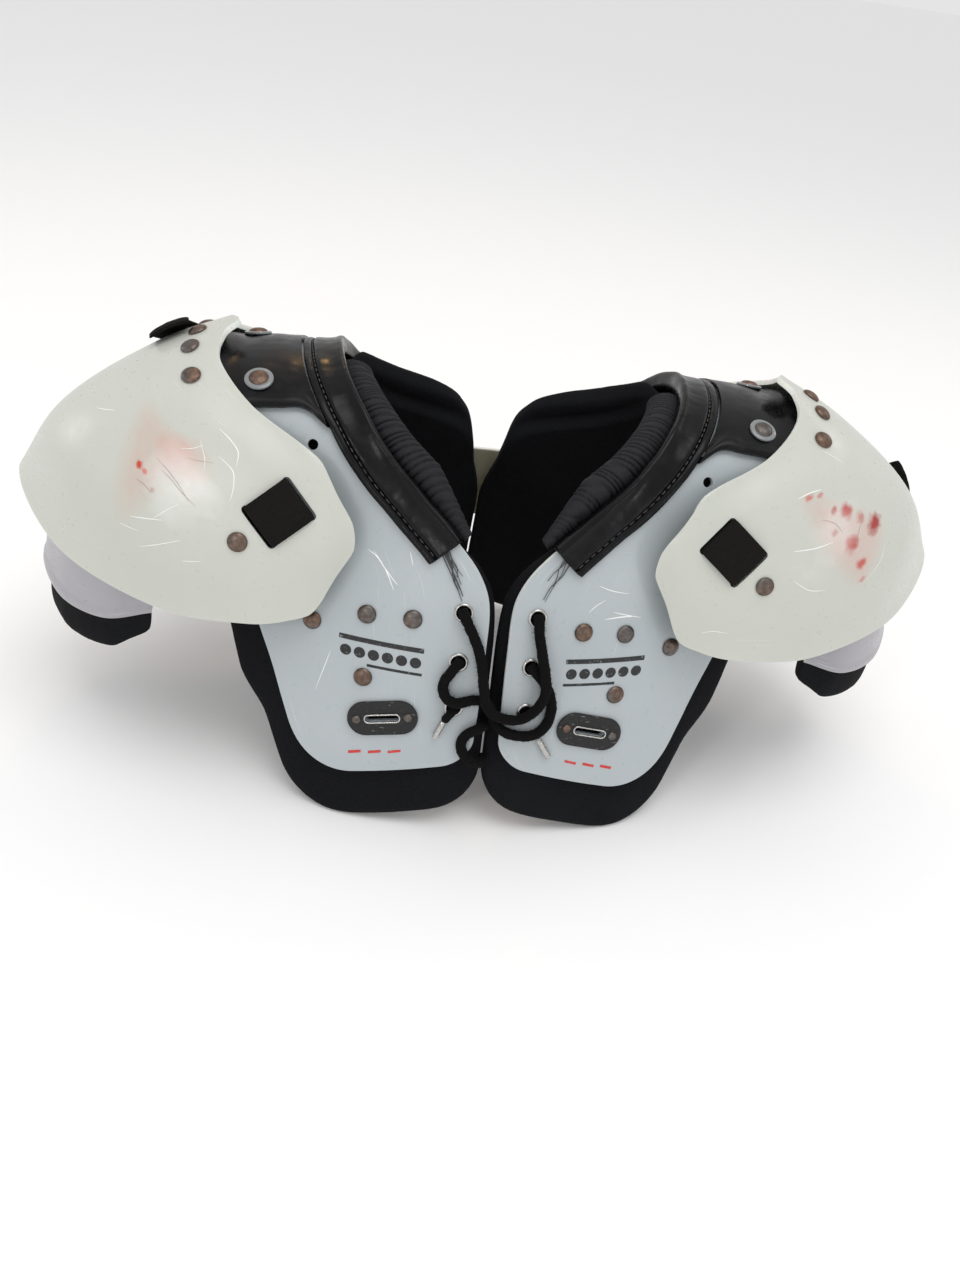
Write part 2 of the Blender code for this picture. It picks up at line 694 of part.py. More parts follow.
def on_shell(made, place, height, side, depth=1):
    point, along, _, normal = shell_frame(flap_skin, FLAP_END, *place)
    lifted = point + normal * height
    point, along, normal = [Vector((v.x, depth * v.y, v.z)) for v in (lifted, along, normal)]
    return seat(made, point, along, normal, side)


def build_chest_hardware(label, side):
    for number, place in enumerate(CHEST_RIVETS, 1):
        cap = turned(f"chest_rivet_{number}_{label}", CAP_PROFILE, CAP_SIDES, aged_brass())
        on_arch(cap, place, PLATE_THICKNESS + GAP, side)
    for number, place in enumerate(EYELETS, 1):
        on_arch(turned(f"eyelet_{number}_{label}", EYELET_PROFILE, 8, nickel()), place, 0, side)
    low, high = PLATE_THICKNESS + GAP, PLATE_THICKNESS + 2.1
    facing = slot_solid(f"belt_slot_facing_{label}", 40, 20, low, high, black_vinyl(), 6)
    seat_slot(facing, side)
    long, wide = BELT_SLOT_LENGTH + 1, BELT_SLOT_WIDTH + 1
    opening = slot_solid(f"cut_facing_{label}", long, wide, -9, 12, black_vinyl())
    cut(facing, seat_slot(opening, side))
    low = PLATE_THICKNESS + 2.1 + GAP
    ferrule = slot_solid(f"belt_slot_ferrule_{label}", 23.5, 8.4, low, low + 1.0, nickel(), 6)
    seat_slot(ferrule, side)
    long, wide = BELT_SLOT_LENGTH - 0.6, BELT_SLOT_WIDTH - 0.4
    mouth = slot_solid(f"cut_ferrule_{label}", long, wide, -9, 12, nickel())
    cut(ferrule, seat_slot(mouth, side))


# Hardware on the shoulder: the strap's washers, the flap's hinge rivets and the rivet of its front loop
WASHER_PLACES = ((33.0, 136.0), (-22.0, 143.0))
HINGE_RIVETS = ((1.75, 0.5), (0.92, 0.42), (-0.1, 0.43), (-1.5, 0.48))


def build_shoulder_hardware(label, side):
    height = PLATE_THICKNESS + STRAP_THICKNESS + 2 * GAP + 0.6
    for number, place in enumerate(WASHER_PLACES, 1):
        washer = turned(f"strap_washer_{number}_{label}", WASHER_PROFILE, 10, aged_brass())
        on_arch(washer, place, height, side)
    for number, (offset, down) in enumerate(HINGE_RIVETS, 1):
        rivet = turned(f"hinge_rivet_{number}_{label}", CAP_PROFILE, CAP_SIDES, aged_brass())
        on_shell(rivet, (FLAP_END / 2 + offset, down), GAP, side)
    cap = turned(f"loop_rivet_{label}", CAP_PROFILE, CAP_SIDES, aged_brass())
    on_shell(cap, LOOP_RIVET_PLACE, GAP, side)


# Bridge plate between the two back plates
BRIDGE_TOP, BRIDGE_BOTTOM, BRIDGE_HALF_WIDTH, BRIDGE_THICKNESS = -136.0, -200.0, 36.0, 2.5


def build_bridge():
    rows = []
    for index in range(7):
        s = BRIDGE_BOTTOM + (BRIDGE_TOP - BRIDGE_BOTTOM) * index / 6
        columns = [-BRIDGE_HALF_WIDTH + BRIDGE_HALF_WIDTH * step / 4 for step in range(9)]
        rows.append([arch_point(s, x, PLATE_THICKNESS + GAP + 0.1) for x in columns])
    sheet("back_bridge", rows, 1, BRIDGE_THICKNESS, white_plastic())


# Laces: where each one runs across the chest plates, from eyelet to eyelet
Hold = namedtuple("Hold", "x s height")
LACE_ROUTES = {
    "lace_upper": (
        Hold(-20.8, 145.0, 4.5), Hold(-19.7, 147.0, 6.4), Hold(-18.3, 149.6, 7.6), Hold(-16.6, 152.8, 7.9),
        Hold(-13.5, 158.5, 7.2), Hold(-10.0, 166.0, 6.7), Hold(-7.4, 175.0, 7.6), Hold(-5.8, 184.0, 11.2),
        Hold(-4.4, 191.5, 13.0), Hold(-1.6, 198.0, 12.4), Hold(2.8, 203.0, 10.9), Hold(8.4, 206.0, 9.0),
        Hold(14.3, 206.6, 7.6), Hold(20.2, 203.2, 7.9), Hold(24.6, 196.2, 9.8), Hold(26.9, 187.5, 12.6),
        Hold(26.3, 178.5, 13.3), Hold(24.4, 169.5, 10.8), Hold(22.6, 161.0, 8.1), Hold(21.1, 154.6, 7.9),
        Hold(20.5, 151.2, 7.9), Hold(20.2, 148.6, 7.2), Hold(20.0, 146.6, 6.0), Hold(19.9, 144.8, 4.5),
    ),
    "lace_lower": (
        Hold(-19.2, 173.3, 4.5), Hold(-20.5, 175.0, 6.4), Hold(-22.2, 177.2, 7.7), Hold(-24.2, 180.4, 7.8),
        Hold(-26.6, 185.2, 6.7), Hold(-26.8, 190.4, 6.9), Hold(-24.0, 195.4, 7.4), Hold(-19.0, 197.2, 7.9),
        Hold(-13.4, 195.6, 7.1), Hold(-8.0, 194.4, 6.5), Hold(-3.2, 196.0, 5.6), Hold(0.0, 200.4, 4.4),
        Hold(1.2, 205.4, 3.6), Hold(2.6, 210.8, 4.3), Hold(5.2, 215.6, 6.0), Hold(9.2, 218.8, 6.9),
        Hold(14.6, 220.4, 6.6), Hold(22.0, 219.4, 6.5), Hold(28.6, 214.8, 6.5), Hold(32.5, 206.4, 6.5),
        Hold(33.3, 197.0, 6.4), Hold(31.0, 188.4, 6.3), Hold(27.4, 182.2, 6.4), Hold(24.6, 179.0, 7.1),
        Hold(21.9, 176.2, 7.2), Hold(20.1, 174.4, 5.8), Hold(18.9, 173.2, 4.5),
    ),
    "lace_loop": (
        Hold(0.0, 214.5, -6.0), Hold(-0.7, 216.0, -1.2), Hold(-3.1, 217.2, 4.6), Hold(-7.6, 218.8, 7.5),
        Hold(-12.0, 223.4, 6.8), Hold(-14.1, 230.4, 6.5), Hold(-12.4, 238.5, 6.4), Hold(-8.0, 244.4, 6.2),
        Hold(-3.4, 247.6, 4.6), Hold(-0.5, 248.6, 0.4), Hold(0.0, 248.4, -4.0),
    ),
}
LACE_ENDS = {
    "left": (
        Hold(-19.8, 202.8, 4.5), Hold(-20.8, 204.4, 6.2), Hold(-22.2, 206.8, 7.0), Hold(-23.4, 209.2, 6.4),
        Hold(-24.0, 210.6, 5.6),
    ),
}
AGLETS = {
    "left": (Hold(-24.6, 212.8, 5.2), Hold(-28.7, 225.1, 5.2)),
    "right": (Hold(28.9, 222.2, 5.2), Hold(35.8, 233.4, 5.2)),
}


def hold_point(hold):
    """A hold in space: x may lie on either half, s and height are read on the arch."""
    point = arch_point(hold.s, abs(hold.x), hold.height)
    return Vector((math.copysign(point.x, hold.x), point.y, point.z))


def smooth_route(holds, step):
    """Points a fixed step apart along the smooth curve through a row of holds."""
    knots = [hold_point(hold) for hold in holds]
    fine = [smooth_through(knots, index / 24) for index in range(24 * (len(knots) - 1) + 1)]
    lengths = [0.0]
    for a, b in zip(fine, fine[1:]):
        lengths.append(lengths[-1] + (b - a).length)
    count = max(2, round(lengths[-1] / step))
    points = []
    place = 0
    for index in range(count + 1):
        wanted = lengths[-1] * index / count
        while place < len(fine) - 2 and lengths[place + 1] < wanted:
            place += 1
        share = (wanted - lengths[place]) / (lengths[place + 1] - lengths[place])
        points.append(fine[place].lerp(fine[place + 1], share))
    return points


def tube(name, points, radius, finish):
    """A curve with a round bevel and filled ends."""
    curve = bpy.data.curves.new(name, "CURVE")
    curve.dimensions = "3D"
    curve.bevel_depth = radius * MM
    curve.bevel_resolution = 2
    curve.use_fill_caps = True
    run = curve.splines.new("POLY")
    run.points.add(len(points) - 1)
    for knot, point in zip(run.points, points):
        knot.co = (*(point * MM), 1.0)
    curve.materials.append(finish)
    made = bpy.data.objects.new(name, curve)
    bpy.context.scene.collection.objects.link(made)


def build_laces():
    for name, holds in LACE_ROUTES.items():
        tube(name, smooth_route(holds, LACE_STEP), LACE_RADIUS, lace_cotton())
    for label, holds in LACE_ENDS.items():
        tube(f"lace_end_{label}", smooth_route(holds, 3.0), LACE_END_RADIUS, lace_cotton())
    for label, holds in AGLETS.items():
        tube(f"aglet_{label}", [hold_point(hold) for hold in holds], AGLET_RADIUS, nickel())


def main():
    for old in list(bpy.data.objects):
        bpy.data.objects.remove(old)
    for label, side in SIDES:
        build_arch_plate(label, side)
        build_body_pad(label, side)
        build_neck_channel(label, side)
        build_neck_roll(label, side)
        build_flap(label, side)
        build_loop(label, side, "front", 1)
        build_loop(label, side, "back", -1)
        build_saddle_strap(label, side)
        build_shell(f"deltoid_cup_{label}", cup_skin, CUP_END, 12, 5, side, CUP_THICKNESS, pale_plastic())
        build_cup_pad(label, side)
        build_chest_hardware(label, side)
        build_shoulder_hardware(label, side)
    build_bridge()
    build_laces()


main()
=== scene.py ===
import math
import random

import bmesh
import bpy
from mathutils import Matrix, Vector, noise


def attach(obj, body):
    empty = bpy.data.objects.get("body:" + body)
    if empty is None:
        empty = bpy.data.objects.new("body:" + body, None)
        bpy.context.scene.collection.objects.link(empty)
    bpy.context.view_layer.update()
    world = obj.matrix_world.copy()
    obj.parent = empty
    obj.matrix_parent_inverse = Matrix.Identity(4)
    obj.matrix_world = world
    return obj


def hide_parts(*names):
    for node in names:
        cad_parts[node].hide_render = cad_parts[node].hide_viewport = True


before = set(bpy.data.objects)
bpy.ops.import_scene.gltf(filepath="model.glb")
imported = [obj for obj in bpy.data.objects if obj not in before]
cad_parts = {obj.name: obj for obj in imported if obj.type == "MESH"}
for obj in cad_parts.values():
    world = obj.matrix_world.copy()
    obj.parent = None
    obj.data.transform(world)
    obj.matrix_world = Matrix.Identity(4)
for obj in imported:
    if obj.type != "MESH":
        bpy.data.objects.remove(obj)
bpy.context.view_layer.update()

# Camera
# A hand-held view from above the chest, turned a little to one side and tilted.
# Its place and turn are fitted to the rivets and eyelets of both chest plates.
MM = 0.001
yaw, pitch, roll = (math.radians(angle) for angle in (-8.26, 34.55, 9.03))
forward = Vector((-math.sin(yaw) * math.cos(pitch), math.cos(yaw) * math.cos(pitch), -math.sin(pitch)))
level = Vector((math.cos(yaw), math.sin(yaw), 0))
upward = level.cross(forward)
right_of_view = level * math.cos(roll) + upward * math.sin(roll)
top_of_view = upward * math.cos(roll) - level * math.sin(roll)
camera = bpy.data.objects.new("camera", bpy.data.cameras.new("camera"))
camera.data.lens = 29.53
camera.data.sensor_width = 36
camera.data.clip_start = 0.01
camera.matrix_world = Matrix.Translation((-0.0773, -0.5642, 0.4433)) @ Matrix(
    (right_of_view, top_of_view, -forward)
).transposed().to_4x4()
bpy.context.scene.collection.objects.link(camera)
bpy.context.scene.camera = camera

# Laces
# One round braided cotton lace, threaded through the eyelets and knotted back on itself, worn and fuzzy.
# Every strand that shows is a cord of its own, from one eyelet or gap to the next.
LACE_RADIUS, LACE_END_RADIUS = 2.9, 2.4
LACE_PLAIT, LACE_SIDES, LACE_STEP = 5.2, 20, 0.7
FIBRE_ROOT, FIBRE_TIP = 0.12, 0.03


def linear(code):
    """An sRGB hex colour as the linear colour that a shader takes."""
    parts = [int(code[start : start + 2], 16) / 255 for start in (1, 3, 5)]
    return (*(c / 12.92 if c <= 0.04045 else ((c + 0.055) / 1.055) ** 2.4 for c in parts), 1.0)


def node(tree, kind, settings):
    """Adds a node with its settings. A node or an output that is given to a socket is linked to it."""
    made = tree.nodes.new("ShaderNode" + kind)
    for key, value in settings.items():
        if isinstance(key, str) and key not in made.inputs:
            setattr(made, key, value)
            continue
        source = value.outputs[0] if isinstance(value, bpy.types.Node) else value
        if isinstance(source, bpy.types.NodeSocket):
            tree.links.new(source, made.inputs[key])
        else:
            made.inputs[key].default_value = source
    return made


def new_finish(name, settings):
    """A material with its principled shader set, its node tree, and its Object coordinates."""
    made = bpy.data.materials.new(name)
    made.use_nodes = True
    tree = made.node_tree
    shader = tree.nodes["Principled BSDF"]
    for socket, value in settings.items():
        shader.inputs[socket].default_value = value
    return made, tree, node(tree, "TexCoord", {}).outputs["Object"]


def feed(tree, settings):
    """Links outputs to sockets of the material's principled shader."""
    shader = tree.nodes["Principled BSDF"]
    for socket, value in settings.items():
        source = value.outputs[0] if isinstance(value, bpy.types.Node) else value
        tree.links.new(source, shader.inputs[socket])


def smooth_through(points, place):
    """A point on the smooth curve through a row of points, one unit apart."""
    index = min(int(place), len(points) - 2)
    t = place - index
    b, c = points[index], points[index + 1]
    a = points[index - 1] if index > 0 else b * 2 - c
    d = points[index + 2] if index + 2 < len(points) else c * 2 - b
    bend = (a * 2 - b * 5 + c * 4 - d) * (t * t / 2)
    turn = (b * 3 - a - c * 3 + d) * (t**3 / 2)
    return b + (c - a) * (t / 2) + bend + turn


def run_along(knots, step):
    """Points a fixed step apart, in millimetres, along the smooth curve through a row of knots."""
    knots = [Vector(knot) for knot in knots]
    fine = [smooth_through(knots, index / 24) for index in range(24 * (len(knots) - 1) + 1)]
    lengths = [0.0]
    for a, b in zip(fine, fine[1:]):
        lengths.append(lengths[-1] + (b - a).length)
    count = max(2, round(lengths[-1] / step))
    points = []
    place = 0
    for index in range(count + 1):
        wanted = lengths[-1] * index / count
        while place < len(fine) - 2 and lengths[place + 1] < wanted:
            place += 1
        share = (wanted - lengths[place]) / (lengths[place + 1] - lengths[place])
        points.append(fine[place].lerp(fine[place + 1], share))
    return points


def run_length(points):
    return sum((b - a).length for a, b in zip(points, points[1:]))


def carried_frames(points):
    """The direction of a run and two steady directions across it, at each of its points."""
    frames = []
    side = Vector((0.31, 0.17, 0.93))
    for index in range(len(points)):
        along = (points[min(index + 1, len(points) - 1)] - points[max(index - 1, 0)]).normalized()
        side = (side - along * side.dot(along)).normalized()
        frames.append((along, side, along.cross(side)))
    return frames


def chart_grid(u_steps, v_steps, u_size=1.0, v_size=1.0):
    """A grid with corners from 0 to 1, and a UV map of them times the sheet's sizes."""
    shape = bmesh.new()
    bmesh.ops.create_grid(shape, x_segments=u_steps, y_segments=v_steps, size=0.5)
    bmesh.ops.translate(shape, verts=shape.verts, vec=(0.5, 0.5, 0))
    chart = shape.loops.layers.uv.new("chart")
    for face in shape.faces:
        for loop in face.loops:
            loop[chart].uv = (loop.vert.co.x * u_size, loop.vert.co.y * v_size)
    return shape


def rolled_tube(points, sides, radius_at):
    """A tube through points in millimetres, closed at both ends, as wide as radius_at(distance, turn)."""
    length = run_length(points)
    shape = chart_grid(len(points) - 1, sides, length * MM, math.tau * radius_at(length / 2, 0) * MM)
    frames = carried_frames(points)
    for corner in shape.verts:
        index = round(corner.co.x * (len(points) - 1))
        turn = corner.co.y * math.tau
        _, across, up = frames[index]
        reach = radius_at(length * corner.co.x, turn)
        corner.co = (points[index] + (across * math.cos(turn) + up * math.sin(turn)) * reach) * MM
    return closed_up(shape)


def closed_up(shape):
    """Joins a rolled-up grid along its seam, fills its ends and faces it outward."""
    bmesh.ops.remove_doubles(shape, verts=shape.verts, dist=0.01 * MM)
    bmesh.ops.holes_fill(shape, edges=[edge for edge in shape.edges if edge.is_boundary], sides=0)
    bmesh.ops.recalc_face_normals(shape, faces=shape.faces)
    return shape


def pointing(centre, direction):
    """Stands a shape at a centre, with its Z along a direction."""
    return Matrix.Translation(centre) @ direction.to_track_quat("Z", "Y").to_matrix().to_4x4()


def new_piece(name, shape, finishes, sharp=40.0):
    """An object of its own at the origin, from a bmesh whose corners are in metres."""
    mesh = bpy.data.meshes.new(name)
    shape.to_mesh(mesh)
    shape.free()
    for made in finishes:
        mesh.materials.append(made)
    mesh.shade_smooth()
    mesh.set_sharp_from_angle(angle=math.radians(sharp))
    piece = bpy.data.objects.new(name, mesh)
    bpy.context.scene.collection.objects.link(piece)
    return piece


def fitted(piece, slot, *nodes):
    """Makes a piece ride on the pad and lets it stand for its CAD nodes, which it hides. The slot is not
    used.
    """
    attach(piece, "root")
    if nodes:
        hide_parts(*nodes)
    return piece


def blended(tree, share, low, high):
    """The colour between two, which are hex codes or outputs, at a node's share."""
    low, high = (linear(colour) if isinstance(colour, str) else colour for colour in (low, high))
    return node(tree, "Mix", {"data_type": "RGBA", 0: share, 6: low, 7: high}).outputs[2]


def flecked(tree, place, scale, detail, low, high, relief=None):
    """Gives a finish its grain: noise that blends two colours and, given a strength and depth, raises it."""
    grain = node(tree, "TexNoise", {"Vector": place, "Scale": scale, "Detail": detail})
    feed(tree, {"Base Color": blended(tree, grain, low, high)})
    if relief:
        strength, depth = relief
        feed(tree, {"Normal": node(tree, "Bump", {"Strength": strength, "Distance": depth, "Height": grain})})
    return grain


# Mercerised cotton, braided: dull black with a faint grey fuzz. The plait is 5 mm long.
lace_cotton, tree, place = new_finish("braided black cotton", {"Roughness": 1.0, "Specular IOR Level": 0.15})
flecked(tree, place, 900.0, 3.0, "#050505", "#131212", (0.7, 0.0003))


def lumps(a, b, c):
    """A steady random height between -1 and 1 that changes smoothly with each of three places."""
    return noise.noise(Vector((a, b, c)))


def plaited(radius):
    """Radius of a braided lace at a distance and a turn: its crossing strands and uneven wear."""

    def radius_at(distance, turn):
        twist = math.tau * distance / LACE_PLAIT
        one = abs(math.sin(2 * turn + twist))
        other = abs(math.sin(2 * turn - twist))
        worn = lumps(distance * 0.35, math.cos(turn), math.sin(turn) + radius)
        return radius * (0.9 + 0.12 * max(one, other) + 0.1 * worn)

    return radius_at


def lace_fuzz(name, points, radius, fibres_per_mm, seed):
    """Short loose fibres along a lace: three-sided spikes that lean over."""
    chance = random.Random(seed)
    shape = bmesh.new()
    frames = carried_frames(points)
    for _ in range(int(run_length(points) * fibres_per_mm)):
        index = chance.randrange(1, len(points) - 1)
        along, across, up = frames[index]
        turn = chance.uniform(0, math.tau)
        out = across * math.cos(turn) + up * math.sin(turn)
        lean = (out + along * chance.uniform(-0.8, 0.8) + across * chance.uniform(-0.5, 0.5)).normalized()
        root = (points[index] + along * chance.uniform(-0.5, 0.5) + out * radius * 0.85) * MM
        length = chance.uniform(0.6, 2.0) * MM
        bmesh.ops.create_cone(
            shape, cap_ends=False, segments=3, radius1=FIBRE_ROOT * MM, radius2=FIBRE_TIP * MM, depth=length,
            matrix=pointing(root + lean * length / 2, lean),
        )
    return new_piece(name, shape, [lace_cotton])


LACE_KNOTS = {
    "lace_upper": (
        (-21.1, -96.1, 135.9), (-20.1, -98.6, 134.6), (-18.8, -100.7, 132.5), (-17.0, -102.1, 129.6),
        (-13.8, -103.4, 123.9), (-10.2, -105.4, 116.5), (-7.6, -109.0, 108.1), (-6.0, -115.1, 100.3),
        (-4.6, -118.9, 93.6), (-1.7, -119.9, 88.0), (2.9, -119.5, 83.8), (8.7, -118.2, 81.0),
        (14.7, -116.9, 79.9), (20.7, -116.1, 82.3), (25.4, -116.0, 88.6), (28.0, -116.1, 97.4),
        (27.5, -114.3, 106.3), (25.3, -109.5, 114.3), (23.2, -104.5, 121.7), (21.6, -102.4, 127.8),
        (21.0, -101.3, 131.1), (20.7, -99.8, 133.4), (20.4, -98.1, 134.9), (20.2, -96.1, 136.1),
    ),
    "lace_lower": (
        (-19.5, -105.0, 108.8), (-20.9, -107.2, 107.7), (-22.8, -109.0, 106.0), (-24.8, -109.8, 102.9),
        (-27.2, -109.9, 97.9), (-27.4, -111.5, 93.0), (-24.6, -113.5, 88.6), (-19.5, -114.8, 87.2),
        (-13.7, -113.9, 88.4), (-8.2, -113.3, 89.2), (-3.3, -112.9, 87.7), (0.0, -112.7, 84.0),
        (1.2, -113.0, 80.3), (2.6, -114.6, 77.0), (5.3, -117.1, 74.3), (9.4, -118.6, 72.1),
        (14.9, -118.6, 70.3), (22.5, -118.1, 70.0), (29.2, -116.7, 72.6), (33.2, -114.5, 78.9),
        (34.0, -112.0, 86.8), (31.6, -109.9, 94.8), (28.0, -108.7, 100.7), (25.2, -108.7, 104.0),
        (22.4, -108.2, 106.8), (20.5, -106.5, 108.1), (19.2, -105.0, 108.9),
    ),
    "lace_loop": (
        (0.0, -105.3, 72.1), (-0.7, -110.2, 72.5), (-3.1, -116.0, 73.1), (-7.8, -119.2, 72.4),
        (-12.3, -119.4, 68.7), (-14.4, -120.4, 63.5), (-12.7, -122.1, 57.8), (-8.2, -123.2, 53.8),
        (-3.5, -122.2, 51.5), (-0.5, -118.3, 50.0), (0.0, -114.0, 49.2),
    ),
}
for seed, (name, knots) in enumerate(LACE_KNOTS.items()):
    points = run_along(knots, LACE_STEP)
    braid = rolled_tube(points, LACE_SIDES, plaited(LACE_RADIUS))
    strand = fitted(new_piece(name + "_braid", braid, [lace_cotton], 80), "black_cotton_lace", name)
    fuzz = lace_fuzz(name + "_fuzz", points, LACE_RADIUS, 9.0, seed)
    fitted(fuzz, "black_cotton_lace")

# The lace's left end: a few millimetres of it show between the lowest eyelet and the tag that binds it.
LACE_END_KNOTS = (
    (-20.1, -112.8, 81.7), (-21.2, -114.7, 80.9), (-22.7, -115.9, 79.2), (-23.9, -115.8, 77.2),
    (-24.4, -115.3, 75.9),
)
end_points = run_along(LACE_END_KNOTS, 0.5)
stub = rolled_tube(end_points, LACE_SIDES, plaited(LACE_END_RADIUS))
fitted(new_piece("lace_end_left_braid", stub, [lace_cotton], 80), "black_cotton_lace", "lace_end_left")
fitted(lace_fuzz("lace_end_left_fuzz", end_points, LACE_END_RADIUS, 6.0, 9), "black_cotton_lace")

# Lace tags
# A nickel-plated steel strip rolled round each lace end, with a lapped seam along it and a cut mouth.
nickel, tree, place = new_finish("nickel plate on steel", {"Metallic": 1.0, "Roughness": 0.24})
tarnish = flecked(tree, place, 420.0, 4.0, "#8f8e8b", "#dad9d5")
feed(tree, {"Roughness": node(tree, "MapRange", {"Value": tarnish, "To Min": 0.14, "To Max": 0.42})})
TAG_RADIUS, TAG_LAP, TAG_RING_SPACING = 1.72, 0.12, 3.2
for label, ends in (
    ("left", ((-25.0, -115.3, 74.1), (-29.2, -117.7, 64.5))),
    ("right", ((29.4, -117.1, 66.6), (36.4, -119.2, 56.5))),
):
    points = run_along(ends, 0.4)

    def rolled_strip(distance, turn, length=run_length(points)):
        lap = TAG_LAP if turn > math.pi * 1.85 else 0.0
        pinch = 0.22 * max(0.0, 1 - distance / 1.6) + 0.12 * max(0.0, 1 - (length - distance) / 0.9)
        ring = 0.10 if distance % TAG_RING_SPACING < 0.5 else 0.0
        return TAG_RADIUS + lap - pinch - ring

    tag = new_piece(f"lace_tag_{label}", rolled_tube(points, 24, rolled_strip), [nickel], 50)
    fitted(tag, "nickel_plate", f"aglet_{label}")

# Body arches
# Two moulded polyethylene plates, 3 mm thick, bent over each shoulder from the chest to the back.
# Their edges are trimmed and eased, and the eyelets, the belt slot and a vent hole are punched through.
CREST_HEIGHT, CREST_RADIUS, CREST_HALF_ANGLE = 231.0, 80.0, math.radians(66)
LEG_END_ANGLE, LEG_EASE_LENGTH = math.radians(74), 90.0
CHEST_WRAP_RADIUS = 290.0
END_SLANT, END_SLANT_START, SLANT_PIVOT = 12.5, 190.0, 62.0
WRAP_START, WRAP_FULL = 40.0, 120.0
SHOULDER_DROP, SHOULDER_DROP_START, SHOULDER_DROP_END = 6.0, 95.0, 170.0
PLATE_THICKNESS, PLATE_END = 3.0, 247.5
PLATE_CORNERS = (16.0, 27.0)
SIDES = (("left", -1), ("right", 1))
# Places along the arch, with the inner and outer edge of the plate there, and of the pad behind it.
EDGES = (
    (-280, 8, 88, 4, 106), (-225, 7, 109, 4, 129), (-207, 7, 117, 4, 146), (-166, 11, 134, 4.5, 158),
    (-130, 14, 144, 8, 163), (-111, 19, 149, 11, 168), (-97, 28, 152, 15, 170), (-88, 43, 154, 20, 171),
    (-80, 60, 156, 26, 173), (-72, 75, 157, 38, 174), (-60, 87, 159, 62, 176), (-45, 94, 162, 79, 179),
    (-24, 98, 165, 92, 182), (0, 97, 166, 100, 183), (25, 92, 165, 95, 182), (50, 80, 161, 83, 178),
    (71, 65, 157, 68, 174), (90, 46, 153, 49, 170), (108, 28, 149, 30, 167), (124, 14, 145, 12, 163),
    (140, 7, 140, 4, 161), (166, 6, 134, 3.2, 158), (207, 6.5, 117, 3.2, 146), (225, 7, 109, 3.2, 129),
    (280, 8, 88, 3.2, 106),
)
PLATE_IN, PLATE_OUT, PAD_IN, PAD_OUT = 1, 2, 3, 4
EYELETS, EYELET_HOLE = ((146.5, 20.0), (174.5, 20.0), (202.5, 20.0)), 4.3
BELT_SLOT, BELT_SLOT_TURN = (214.0, 58.0), math.radians(8)
VENT, VENT_HOLE = (67.0, 106.0), 2.8
PUNCH_REACH = (-9.0, 12.0)
HAIRLINE_STRETCH = 60.0


def edge_at(column, s):
    """An edge's distance from the middle at s along the arch, on a smooth curve through the rows of EDGES."""
    for index in range(len(EDGES) - 1):
        if s <= EDGES[index + 1][0]:
            break
    a, b, c = EDGES[max(index - 1, 0)], EDGES[index], EDGES[index + 1]
    d = EDGES[min(index + 2, len(EDGES) - 1)]
    step = c[0] - b[0]
    slope_b = (c[column] - a[column]) / (c[0] - a[0]) * step
    slope_c = (d[column] - b[column]) / (d[0] - b[0]) * step
    t = (s - b[0]) / step
    start = b[column] * (2 * t**3 - 3 * t**2 + 1) + slope_b * (t**3 - 2 * t**2 + t)
    return start + c[column] * (3 * t**2 - 2 * t**3) + slope_c * (t**3 - t**2)


def eased(value, start, full):
    """0 below start, 1 above full, smooth between."""
    t = min(1.0, max(0.0, (value - start) / (full - start)))
    return t * t * (3 - 2 * t)


def leg_profile(length):
    """Depth and height of the arch's inner face at a length down from the crest."""
    arc = CREST_RADIUS * CREST_HALF_ANGLE
    angle = min(length, arc) / CREST_RADIUS
    depth = CREST_RADIUS * math.sin(angle)
    height = CREST_HEIGHT - CREST_RADIUS * (1 - math.cos(angle))
    steps = 12
    for index in range(steps if length > arc else 0):
        step = (length - arc) / steps
        share = min(1.0, (index + 0.5) * step / LEG_EASE_LENGTH)
        slope = CREST_HALF_ANGLE + (LEG_END_ANGLE - CREST_HALF_ANGLE) * share
        depth += math.cos(slope) * step
        height -= math.sin(slope) * step
    return depth, height


PROFILE = [leg_profile(index / 2) for index in range(640)]


def side_profile(s):
    """Depth and height at arc length s from the crest, read between the half-millimetre steps of PROFILE."""
    index = int(abs(s) * 2)
    share = abs(s) * 2 - index
    a, b = PROFILE[index], PROFILE[index + 1]
    depth = a[0] + (b[0] - a[0]) * share
    return (-depth if s > 0 else depth), a[1] + (b[1] - a[1]) * share


def arch_skin(s, x):
    """A point on the inner face of the right arch, in millimetres."""
    slant = END_SLANT * (abs(x) - SLANT_PIVOT) / 50.0 * eased(abs(s), END_SLANT_START, PLATE_END)
    y, z = side_profile(s + slant if s > 0 else s - slant)
    y += (1 if s > 0 else -1) * eased(abs(s), WRAP_START, WRAP_FULL) * x * x / (2 * CHEST_WRAP_RADIUS)
    outward = max(0.0, abs(x) - SHOULDER_DROP_START) / (SHOULDER_DROP_END - SHOULDER_DROP_START)
    z -= SHOULDER_DROP * outward**2 * (1 - eased(abs(s), WRAP_START, WRAP_FULL))
    return Vector((x, y, z))


def frame_on(skin, a, b, step=0.5):
    """Point, direction along a, direction along b and outward normal of a skin."""
    along = skin(a + step, b) - skin(a - step, b)
    across = skin(a, b + step) - skin(a, b - step)
    return skin(a, b), along.normalized(), across.normalized(), along.cross(across).normalized()


def arch_point(s, x, height):
    point, _, _, normal = frame_on(arch_skin, s, x)
    return point + normal * height


def on_side(point, side):
    """A point of the right half in metres, on either side."""
    return Vector((side * point.x, point.y, point.z)) * MM


